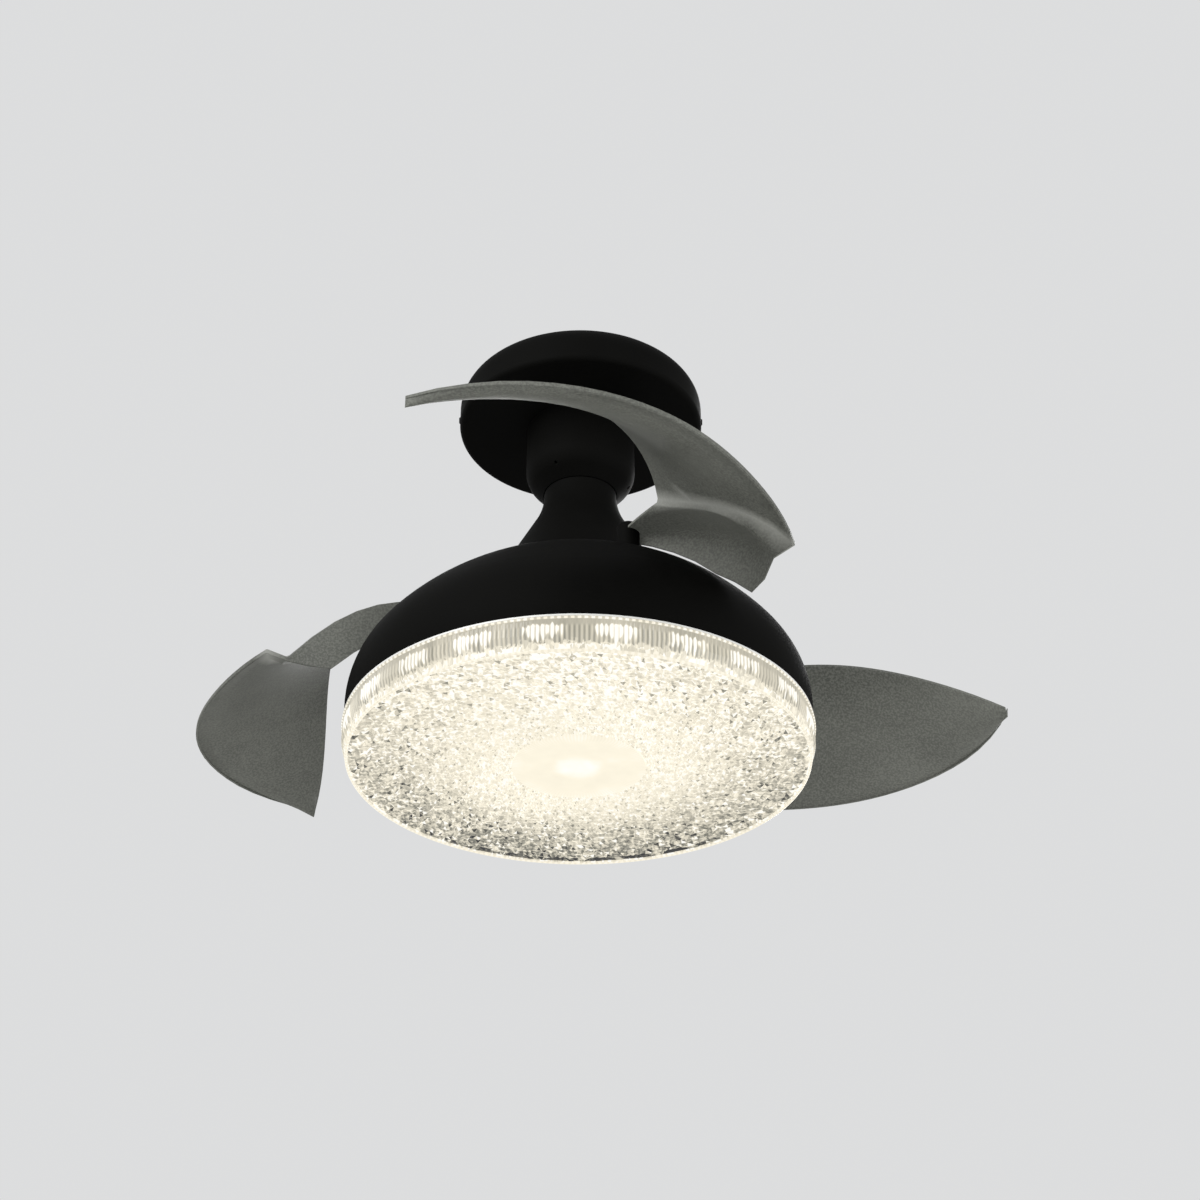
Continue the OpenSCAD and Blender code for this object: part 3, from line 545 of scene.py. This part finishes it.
@dataclass(frozen=True)
class RibbedLight:
    """The fluted side wall, with the lamps glowing behind it and facets on its lowest part.

    Attributes:
        lamps: Lamps in the ring behind the wall.
        ribs: Flutes in a full turn.
        name: The material's name.
        glow: How much a lamp adds to the wall's brightness.
        facet_tone: Brightness of the facets along the foot.
        facet_band: Shares of the wall's height between which the facets begin.
    """

    lamps: int
    ribs: int
    name: str = "ribbed_light"
    glow: float = 0.5
    facet_tone: float = 0.93
    facet_band: Band = (0.34, 0.26)

    def build(self) -> bpy.types.Material:
        """Makes the material.

        Returns:
            The material.
        """
        light = LightTones(self.name, 0.2)
        shader = light.shader
        _, _, z = shader.axes()
        height = (z - (RIM_Z - LAMP_DEPTH)) * (1.0 / LAMP_DEPTH)
        flute = shader.turns(self.ribs) * 0.5 + 0.5
        columns = shader.stretched((1.0, 1.0, 0.05))
        uneven = shader.noise(46.0, 2.0, columns)
        walls = (flute - 0.5) * height.ramp(0.85, 0.7) * 0.22 + uneven * 0.3 + 0.54
        each = shader.noise(170.0, 1.0, columns) - 0.5
        behind = (shader.turns(self.lamps) * 0.5 + 0.5 + each * 0.8).ramp(0.25, 0.65)
        drop = (height - each * 1.1).ramp(0.3, 0.6) * (height + each * 0.3).ramp(0.84, 0.74)
        lamp = (behind * drop * (flute * 1.2 + 0.45)).least(1.0)
        chip = shader.slivers() - 0.5
        low = (height + chip * 0.2).ramp(*self.facet_band)
        above = (walls + lamp * self.glow) * (1.0 - low)
        return light.lit(above + (chip * 0.3 + self.facet_tone) * low)


@dataclass(frozen=True)
class DiscLight:
    """The smooth disc at the centre, brightest in its middle.

    Attributes:
        name: The material's name.
        glow: Its brightness.
        core_band: Distances from the axis between which the bright middle ends.
        rays: Fine rays in a full turn, near its edge.
        ray_band: Distances between which the rays begin.
    """

    name: str = "disc_light"
    glow: float = 0.935
    core_band: Band = (0.012, 0.032)
    rays: int = 120
    ray_band: Band = (0.05, 0.069)

    def build(self) -> bpy.types.Material:
        """Makes the material.

        Returns:
            The material.
        """
        light = LightTones(self.name, 0.3)
        shader = light.shader
        radius = shader.radius()
        core = 1.0 - radius.ramp(*self.core_band)
        soft = shader.noise(42.0, 2.0) - 0.5
        rays = (shader.turns(self.rays) * 0.5 + 0.5) * radius.ramp(*self.ray_band)
        return light.lit(core * 0.045 + soft * 0.07 + rays * 0.02 + self.glow)


@dataclass(frozen=True)
class EdgeLight:
    """Clear plastic edge that gathers the lamp's light in small beads.

    Attributes:
        name: The material's name.
        dull: Its brightness between the beads.
        bright: What a bead adds.
        beads: Beads in a full turn.
    """

    name: str = "edge_light"
    dull: float = 0.66
    bright: float = 0.32
    beads: int = 240

    def build(self) -> bpy.types.Material:
        """Makes the material.

        Returns:
            The material.
        """
        light = LightTones(self.name, 0.2)
        shader = light.shader
        beads = (shader.turns(self.beads) * 0.5 + 0.5).ramp(0.1, 0.7)
        drift = shader.noise(30.0, 2.0)
        return light.lit((beads * 0.6 + drift * 0.7).least(1.0) * self.bright + self.dull)


BLACK = Finish("black_powder", (0.0028, 0.0028, 0.0025), (0.0042, 0.0042, 0.0038), Grain.POWDER,
               (0.6, 0.72), ior=1.1)
ZINC = Finish("zinc_plate", (0.48, 0.5, 0.53), (0.62, 0.62, 0.6), Grain.BRUSHED,
              (0.28, 0.42), metal=1.0)
GROUND = Finish("ground_steel", (0.42, 0.42, 0.43), (0.56, 0.56, 0.57), Grain.BRUSHED,
                (0.16, 0.3), metal=1.0)
CASTING = Finish("dark_casting", (0.035, 0.035, 0.038), (0.07, 0.07, 0.075), Grain.CAST,
                 (0.45, 0.62), metal=0.6)
COPPER = Finish("copper_winding", (0.45, 0.16, 0.05), (0.68, 0.3, 0.12), Grain.WOUND,
                (0.25, 0.4), metal=1.0)
BRONZE = Finish("sintered_bronze", (0.38, 0.24, 0.09), (0.5, 0.35, 0.15), Grain.CAST,
                (0.35, 0.5), metal=1.0)
MAGNET = Finish("magnet_plate", (0.06, 0.06, 0.065), (0.11, 0.11, 0.115), Grain.BRUSHED,
                (0.3, 0.45), metal=0.8)
WHITE = Finish("white_moulding", (0.72, 0.72, 0.7), (0.62, 0.62, 0.59), Grain.MOULDED, (0.38, 0.5))
PAINT = Finish("white_paint", (0.82, 0.82, 0.8), (0.76, 0.76, 0.73), Grain.POWDER, (0.3, 0.42))
CREAM = Finish("cream_gear", (0.66, 0.62, 0.48), (0.56, 0.52, 0.38), Grain.MOULDED, (0.4, 0.52))
CHARCOAL = Finish("charcoal_moulding", (0.012, 0.012, 0.013), (0.022, 0.022, 0.023), Grain.MOULDED,
                  (0.42, 0.55))
RUBBER = Finish("black_rubber", (0.008, 0.008, 0.008), (0.016, 0.016, 0.016), Grain.MOULDED,
                (0.65, 0.8))

NODE_FINISHES: dict[Finish, tuple[str, ...]] = {
    BLACK: ("canopy", "canopy_screws", "neck_collar", "neck_cover", "downrod", "dome_cover",
            "dome_screws", "blade_1_pivot", "blade_2_pivot", "blade_3_pivot"),
    ZINC: ("ceiling_bracket", "collar_nuts", "rod_pins", "lamp_hub_nut", "pan_screws",
           "diffuser_clips", "clip_screws", "rotor_screws", "carrier_screws", "dome_posts",
           "blade_1_gear_screw", "blade_2_gear_screw", "blade_3_gear_screw"),
    GROUND: ("motor_shaft", "stator_core", "bearing_inner_races", "bearing_outer_races",
             "bearing_balls", "shaft_clips", "return_springs"),
    CASTING: ("rotor_cup", "rotor_lid", "blade_carrier", "lamp_hub"),
    COPPER: ("stator_coils",),
    BRONZE: ("pivot_bushes",),
    MAGNET: ("rotor_magnets",),
    WHITE: ("receiver_box", "terminal_block", "led_driver", "outer_led_board", "inner_led_board"),
    PAINT: ("lamp_pan",),
    CREAM: ("sync_ring", "blade_1_gear", "blade_2_gear", "blade_3_gear"),
    CHARCOAL: ("neck_spacer",),
    RUBBER: ("blade_stops",),
}


# ---- mesh work ----


class Bench:
    """Edit-mode work on one new piece, by operators."""

    def __init__(self, name: str) -> None:
        """Clears the selection before a new piece.

        Args:
            name: The piece's name.
        """
        self.name = name
        bpy.ops.object.select_all(action="DESELECT")

    @property
    def piece(self) -> bpy.types.Object:
        """The active object."""
        return bpy.context.view_layer.objects.active

    def take(self, source: bpy.types.Object) -> None:
        """Starts from a copy of a node's mesh.

        Args:
            source: The object to copy.
        """
        copy = bpy.data.objects.new(self.name, source.data.copy())
        bpy.context.scene.collection.objects.link(copy)
        bpy.context.view_layer.objects.active = copy
        copy.select_set(True)

    def started(self) -> None:
        """Names the primitive that was just added, and opens it for editing."""
        self.piece.name = self.name
        self.piece.data.name = self.name
        self.edit()

    def edit(self) -> None:
        """Goes into edit mode."""
        bpy.ops.object.mode_set(mode="EDIT")

    def done_editing(self) -> None:
        """Leaves edit mode."""
        bpy.ops.object.mode_set(mode="OBJECT")

    def bend(self, where: Callable[[Vector], Place]) -> None:
        """Moves every vertex.

        Args:
            where: Gives a vertex's new place from its old one.
        """
        self.done_editing()
        for vertex in self.piece.data.vertices:
            vertex.co = where(vertex.co)
        self.edit()

    def pick(self, kind: str, test: Callable[[object], bool]) -> None:
        """Selects vertices or faces by a test on each.

        Args:
            kind: VERT or FACE.
            test: Says whether an element is wanted.
        """
        bpy.ops.mesh.select_mode(type=kind)
        bpy.ops.mesh.select_all(action="DESELECT")
        self.done_editing()
        data = self.piece.data
        for item in {"VERT": data.vertices, "FACE": data.polygons}[kind]:
            item.select = test(item)
        self.edit()

    def modify(self, kind: str, **settings: object) -> None:
        """Adds and applies a modifier.

        Args:
            kind: The modifier's type.
            **settings: Its properties.
        """
        modifier = self.piece.modifiers.new(kind.title(), kind)
        for key, value in settings.items():
            setattr(modifier, key, value)
        bpy.ops.object.modifier_apply(modifier=modifier.name)

    def finish(self, material: bpy.types.Material, body: Body, slot: str, *nodes: str,
               smooth: float | None = None) -> bpy.types.Object:
        """Fixes the piece's place, finish and body.

        Args:
            material: Its material.
            body: The body that it rides on.
            slot: The record's material slot; not used.
            *nodes: CAD nodes that it stands for.
            smooth: The angle up to which edges are shaded smooth, in degrees.

        Returns:
            The piece.
        """
        piece = self.piece
        piece.select_set(True)
        bpy.ops.object.transform_apply(location=True, rotation=True, scale=True)
        if smooth is not None:
            bpy.ops.object.shade_smooth_by_angle(angle=math.radians(smooth))
        piece.data.materials.clear()
        piece.data.materials.append(material)
        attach(piece, body.value)
        if nodes:
            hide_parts(*nodes)
        log.info("%s: %d faces on %s", piece.name, len(piece.data.polygons), body.value)
        return piece


@dataclass
class CrystalLamp:
    """The lit diffuser: fluted wall, beaded rims, faceted bottom and smooth centre disc.

    Attributes:
        rim_r: Radius at the seam with the dome.
        foot_r: Radius at the foot of the side wall.
        disc_r: Radius of the smooth disc.
        foot_z: Height of the underside.
        wall: Thickness of the side wall and of the smooth disc.
        ribs: Flutes in a full turn.
        flute_share: Radius of a flute's floor against that of its ridge.
        lamps: Lamps in the ring behind the wall.
        segments: Facets in a ring of the bottom.
        rings: Rings of facets.
        facet_lift: Height of the facets' corners above the underside.
        facet_drop: How far a facet's middle hangs below them, about.
        facet_wall: Thickness of the faceted bottom.
        stray: How far a corner is moved at random.
    """

    rim_r: float = 0.25
    foot_r: float = 0.2445
    disc_r: float = 0.069
    foot_z: float = RIM_Z - LAMP_DEPTH
    wall: float = 0.003
    ribs: int = 330
    flute_share: float = 0.9955
    lamps: int = 22
    segments: int = 190
    rings: int = 36
    facet_lift: float = 0.0036
    facet_drop: float = 0.0016
    facet_wall: float = 0.0016
    stray: float = 0.0017

    def build(self) -> None:
        """Makes and dresses every piece of the diffuser."""
        self.fluted_wall()
        self.faceted_bottom()
        self.centre_disc()
        edge = EdgeLight().build()
        self.bead("diffuser_rim", self.rim_r - 0.0014, RIM_Z - 0.0002, 0.001, edge)
        foot = EdgeLight("foot_light", 0.88, 0.08).build()
        self.bead("diffuser_foot_rim", self.foot_r - 0.0016, self.foot_z + 0.0015, 0.0013, foot)

    def fluted_wall(self) -> None:
        """The side wall, a thin shell whose outside is fluted."""
        bench = Bench("diffuser_wall")
        top = RIM_Z - 0.0008
        foot = self.foot_z + 0.0012
        top_r = self.rim_r - 0.0016
        bottom_r = self.foot_r - 0.0012
        bpy.ops.mesh.primitive_cylinder_add(vertices=2 * self.ribs, radius=top_r,
                                            depth=top - foot, end_fill_type="NOTHING",
                                            location=(0, 0, (top + foot) / 2))
        bench.started()
        bpy.ops.mesh.select_all(action="SELECT")
        bpy.ops.mesh.subdivide(number_cuts=1, quadcorner="INNERVERT")
        lowest = (foot - top) / 2 * 0.9
        bench.pick("VERT", lambda v: v.co.z < lowest)
        bpy.ops.transform.resize(value=(bottom_r / top_r, bottom_r / top_r, 1))
        step = math.pi / self.ribs
        bench.pick("VERT", lambda v: v.co.z > lowest
                   and round(math.atan2(v.co.y, v.co.x) / step) % 2 == 1)
        bpy.ops.transform.resize(value=(self.flute_share, self.flute_share, 1))
        bench.done_editing()
        bench.modify("SOLIDIFY", thickness=self.wall, offset=-1.0)
        light = RibbedLight(self.lamps, self.ribs).build()
        bench.finish(light, Body.LAMP, "clear_diffuser", "diffuser")

    def faceted_bottom(self) -> None:
        """The faceted ring between the wall and the centre disc."""
        bench = Bench("diffuser_facets")
        level = self.foot_z + self.facet_lift
        outer = self.foot_r - self.wall
        shrink = (self.disc_r / outer) ** (1 / self.rings)
        bpy.ops.mesh.primitive_grid_add(x_subdivisions=self.segments, y_subdivisions=self.rings,
                                        size=2.0, location=(0, 0, level))
        bench.started()

        def ringed(at: Vector) -> Place:
            """The place round the disc that stands for a place on the square grid."""
            column = (at.x + 1.0) / 2 * self.segments
            ring = (at.y + 1.0) / 2 * self.rings
            turn = math.tau * (column + ring / 2) / self.segments
            radius = outer * shrink ** ring
            return radius * math.cos(turn), radius * math.sin(turn), 0.0

        bench.bend(ringed)
        bpy.ops.mesh.select_all(action="SELECT")
        bpy.ops.mesh.remove_doubles(threshold=0.00001)
        still_in, still_out = self.disc_r * 1.02, outer * 0.985
        bench.pick("VERT", lambda v: still_in < v.co.length < still_out)
        bpy.ops.transform.vertex_random(offset=self.stray, uniform=0.2, seed=7)
        bench.pick("FACE", lambda f: True)
        bpy.ops.mesh.normals_make_consistent(inside=False)
        bpy.ops.mesh.poke(offset=0.0)
        bench.done_editing()
        mesh = bench.piece.data
        draw = random.Random(11)
        for index in range(self.segments * (self.rings + 1), len(mesh.vertices)):
            mesh.vertices[index].co.z -= self.facet_drop * (0.4 + 1.1 * draw.random())
        for name, seed in (("facet", 3), ("glint", 5)):
            draw = random.Random(seed)
            for value in mesh.attributes.new(name, "FLOAT", "FACE").data:
                value.value = draw.random()
        bench.edit()
        bpy.ops.mesh.select_all(action="SELECT")
        bpy.ops.mesh.normals_make_consistent(inside=False)
        bench.done_editing()
        if mesh.polygons[0].normal.z > 0:
            mesh.flip_normals()
        bench.modify("SOLIDIFY", thickness=self.facet_wall, offset=-1.0)
        bench.finish(CrystalLight().build(), Body.LAMP, "clear_diffuser")

    def centre_disc(self) -> None:
        """The smooth disc, a little hollow below, with a stepped edge."""
        bench = Bench("diffuser_centre")
        edge_w, edge_h, hollow = 0.003, 0.0006, 0.0002
        bpy.ops.mesh.primitive_cylinder_add(vertices=160, radius=self.disc_r + 0.0015,
                                            depth=self.wall, location=(0, 0, self.foot_z + 0.0022))
        bench.started()
        bench.pick("FACE", lambda f: f.normal.z < -0.9)
        bpy.ops.mesh.inset(thickness=edge_w)
        bpy.ops.transform.translate(value=(0, 0, -edge_h))
        for width in (0.012, 0.016, 0.016):
            bpy.ops.mesh.inset(thickness=width)
            bpy.ops.transform.translate(value=(0, 0, hollow))
        bench.done_editing()
        bench.finish(DiscLight().build(), Body.LAMP, "clear_diffuser", smooth=25.0)

    def bead(self, name: str, radius: float, z: float, thick: float,
             material: bpy.types.Material) -> None:
        """A round rim that catches the light.

        Args:
            name: The piece's name.
            radius: The ring's radius.
            z: Its height.
            thick: The radius of its section.
            material: Its material.
        """
        bench = Bench(name)
        bpy.ops.mesh.primitive_torus_add(major_radius=radius, minor_radius=thick,
                                         major_segments=240, minor_segments=10, location=(0, 0, z))
        bench.started()
        bench.pick("VERT", lambda v: v.co.z > thick * 0.7)
        bpy.ops.transform.resize(value=(1.002, 1.002, 1))
        bench.done_editing()
        bench.finish(material, Body.LAMP, "clear_diffuser", smooth=60.0)


@dataclass
class SmokyBlades:
    """The three moulded blades, smoothed from their construction shape.

    Places are a direction round the axis in degrees and a distance from it in metres.

    Attributes:
        count: Blades in a full turn.
        crease: Angle up to which their faces are shaded as one, in degrees.
        pivot: Place of the first blade's pivot.
        lay_turn: How far a blade has swung open from the lie in which its step is given.
        heel: Inner end of the step line, its direction counted from the pivot's.
        corner: Outer end of the step line, its direction counted from the pivot's.
        bow: How far the line bows out at its middle, in degrees.
        step_highlight_w: Half width of the painted highlight along the step.
        line_parts: Straight parts that stand for the step line.
    """

    count: int = 3
    crease: float = 38.0
    pivot: Band = (289.5, 0.15)
    lay_turn: float = 104.0
    heel: Band = (-26.0, 0.155)
    corner: Band = (-41.0, 0.283)
    bow: float = -13.0
    step_highlight_w: float = 0.005
    line_parts: int = 24

    def build(self) -> None:
        """Makes and dresses the blades."""
        material = SmokyPlastic().build()
        for index, body in enumerate((Body.BLADE_1, Body.BLADE_2, Body.BLADE_3), start=1):
            self.blade(index, body, material)

    def blade(self, index: int, body: Body, material: bpy.types.Material) -> None:
        """One blade, with the shape of its CAD node.

        Args:
            index: Which blade it is, from 1.
            body: The body that it rides on.
            material: The blades' plastic.
        """
        node = f"blade_{index}"
        bench = Bench(node + "_shell")
        bench.take(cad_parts[node])
        bench.edit()
        bpy.ops.mesh.select_all(action="SELECT")
        bpy.ops.mesh.remove_doubles(threshold=0.00001)
        bpy.ops.mesh.tris_convert_to_quads(face_threshold=math.radians(35),
                                           shape_threshold=math.radians(60))
        bench.done_editing()
        self.mark_step_highlight(bench.piece.data, index)
        bench.finish(material, body, "smoked_blade", node, smooth=self.crease)

    def step_point(self, share: float, turn: float) -> Vector:
        """A place on the line where the root plate steps up to the blade.

        Args:
            share: 0 at the inner edge, and 1 at the outer corner.
            turn: The blade's direction round the fan, in degrees.

        Returns:
            The place, seen from above.
        """
        direction, distance = self.pivot
        pivot = Matrix.Rotation(math.radians(direction), 2) @ Vector((distance, 0.0))
        at = self.heel[0] + (self.corner[0] - self.heel[0]) * share
        at += self.bow * 4 * share * (1 - share)
        reach = self.heel[1] + (self.corner[1] - self.heel[1]) * share
        laid = Matrix.Rotation(math.radians(direction + at), 2) @ Vector((reach, 0.0))
        swung = pivot + Matrix.Rotation(math.radians(self.lay_turn), 2) @ (laid - pivot)
        return Matrix.Rotation(math.radians(turn), 2) @ swung

    def mark_step_highlight(self, mesh: bpy.types.Mesh, index: int) -> None:
        """Stores how near each vertex is to the root step, which the painted highlight follows.

        Args:
            mesh: The blade's mesh.
            index: Which blade it is, from 1.
        """
        turn = (index - 1) * 360 / self.count
        line = [self.step_point(n / self.line_parts, turn) for n in range(self.line_parts + 1)]
        values = mesh.attributes.new("step", "FLOAT", "POINT").data
        for vertex, value in zip(mesh.vertices, values):
            gap = min((vertex.co.xy - point).length for point in line)
            value.value = math.exp(-((gap / self.step_highlight_w) ** 2))


@dataclass
class Dressing:
    """Finishes for every construction node that stays visible."""

    def build(self) -> None:
        """Gives each node its finish."""
        for finish, names in NODE_FINISHES.items():
            material = finish.build()
            for name in names:
                self.dress(name, material)
        lens = EdgeLight("lens_light").build()
        for name in ("outer_led_lenses", "inner_led_lenses"):
            self.dress(name, lens)

    def dress(self, name: str, material: bpy.types.Material) -> None:
        """Puts one material on a node.

        Args:
            name: The node.
            material: Its material.
        """
        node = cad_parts[name]
        node.data.materials.clear()
        node.data.materials.append(material)


@dataclass
class Studio:
    """Pale floor, soft lamps and the camera.

    Attributes:
        camera_at: Place of the camera.
        yaw: Its turn about Z from looking along +Y, in degrees.
        pitch: How far it looks up, in degrees.
        lens: Its focal length, in millimetres.
        sensor: Width of its picture, in millimetres.
        far: How far it sees.
        floor_z: Height of the floor.
        floor_size: Side of the floor.
        ambient: Strength of the even light.
        background: Colour of the distance.
    """

    camera_at: Place = (0.0, -1.889, -1.4505)
    yaw: float = -0.679
    pitch: float = 31.73
    lens: float = 60.48
    sensor: float = 36.0
    far: float = 200.0
    floor_z: float = -2.6
    floor_size: float = 120.0
    ambient: float = 0.5
    background: Colour = (0.72, 0.725, 0.73)

    def build(self) -> None:
        """Makes the surroundings."""
        self.camera()
        self.floor()
        self.sky()
        self.lamp("lamp_key", (-2.2, -2.6, 0.9), 2.6, 105.0)
        self.lamp("lamp_fill", (2.8, -1.6, -0.9), 2.4, 50.0)
        self.lamp("lamp_back", (0.6, 2.8, 1.0), 2.2, 70.0)
        bpy.context.scene.view_settings.view_transform = "Standard"

    def camera(self) -> None:
        """The camera, turned as in the photograph."""
        data = bpy.data.cameras.new("camera")
        data.lens = self.lens
        data.sensor_width = self.sensor
        data.clip_end = self.far
        camera = bpy.data.objects.new("camera", data)
        bpy.context.scene.collection.objects.link(camera)
        a, b = math.radians(self.yaw), math.radians(self.pitch)
        ahead = Vector((-math.sin(a) * math.cos(b), math.cos(a) * math.cos(b), math.sin(b)))
        right = Vector((math.cos(a), math.sin(a), 0.0))
        turn = Matrix((right, right.cross(ahead), -ahead)).transposed()
        camera.matrix_world = Matrix.Translation(self.camera_at) @ turn.to_4x4()
        bpy.context.scene.camera = camera

    def floor(self) -> None:
        """A wide pale floor under the fan."""
        bpy.ops.object.select_all(action="DESELECT")
        bpy.ops.mesh.primitive_plane_add(size=self.floor_size, location=(0, 0, self.floor_z))
        floor = bpy.context.view_layer.objects.active
        floor.name = "floor"
        shader = Shader("pale_floor", Roughness=0.8)
        drift = shader.noise(2.0, 3.0)
        shader.set("Base Color", shader.blend(drift, (0.74, 0.74, 0.73), (0.79, 0.79, 0.78)))
        floor.data.materials.append(shader.material)

    def sky(self) -> None:
        """Even light all round, with a pale background for the camera and for reflections."""
        world = bpy.data.worlds.new("studio")
        world.use_nodes = True
        tree = world.node_tree
        tree.nodes.clear()
        path = tree.nodes.new("ShaderNodeLightPath")
        out = tree.nodes.new("ShaderNodeOutputWorld")
        ambient = tree.nodes.new("ShaderNodeBackground")
        ambient.inputs["Color"].default_value = (1.0, 1.0, 1.0, 1.0)
        ambient.inputs["Strength"].default_value = self.ambient
        shown = tree.nodes.new("ShaderNodeBackground")
        shown.inputs["Color"].default_value = (*self.background, 1.0)
        rays = path.outputs["Is Camera Ray"]
        for name in ("Is Glossy Ray", "Is Transmission Ray"):
            most = tree.nodes.new("ShaderNodeMath")
            most.operation = "MAXIMUM"
            tree.links.new(rays, most.inputs[0])
            tree.links.new(path.outputs[name], most.inputs[1])
            rays = most.outputs[0]
        mix = tree.nodes.new("ShaderNodeMixShader")
        tree.links.new(rays, mix.inputs[0])
        tree.links.new(ambient.outputs[0], mix.inputs[1])
        tree.links.new(shown.outputs[0], mix.inputs[2])
        tree.links.new(mix.outputs[0], out.inputs[0])
        bpy.context.scene.world = world

    def lamp(self, name: str, at: Place, size: float, watts: float) -> None:
        """One soft square lamp aimed at the fan.

        Args:
            name: The lamp's name.
            at: Its place.
            size: Its side.
            watts: Its power.
        """
        data = bpy.data.lights.new(name, "AREA")
        data.size = size
        data.energy = watts
        lamp = bpy.data.objects.new(name, data)
        bpy.context.scene.collection.objects.link(lamp)
        aim = (Vector((0.0, 0.0, RIM_Z)) - Vector(at)).to_track_quat("-Z", "Y")
        lamp.matrix_world = Matrix.Translation(at) @ aim.to_matrix().to_4x4()


def main() -> None:
    """Builds the surroundings and every piece of the fan."""
    logging.basicConfig(level=logging.INFO, format="%(message)s")
    for part in (Studio(), Dressing(), CrystalLamp(), SmokyBlades()):
        log.info("building %s", type(part).__name__)
        part.build()


if __name__ == "__main__":
    main()
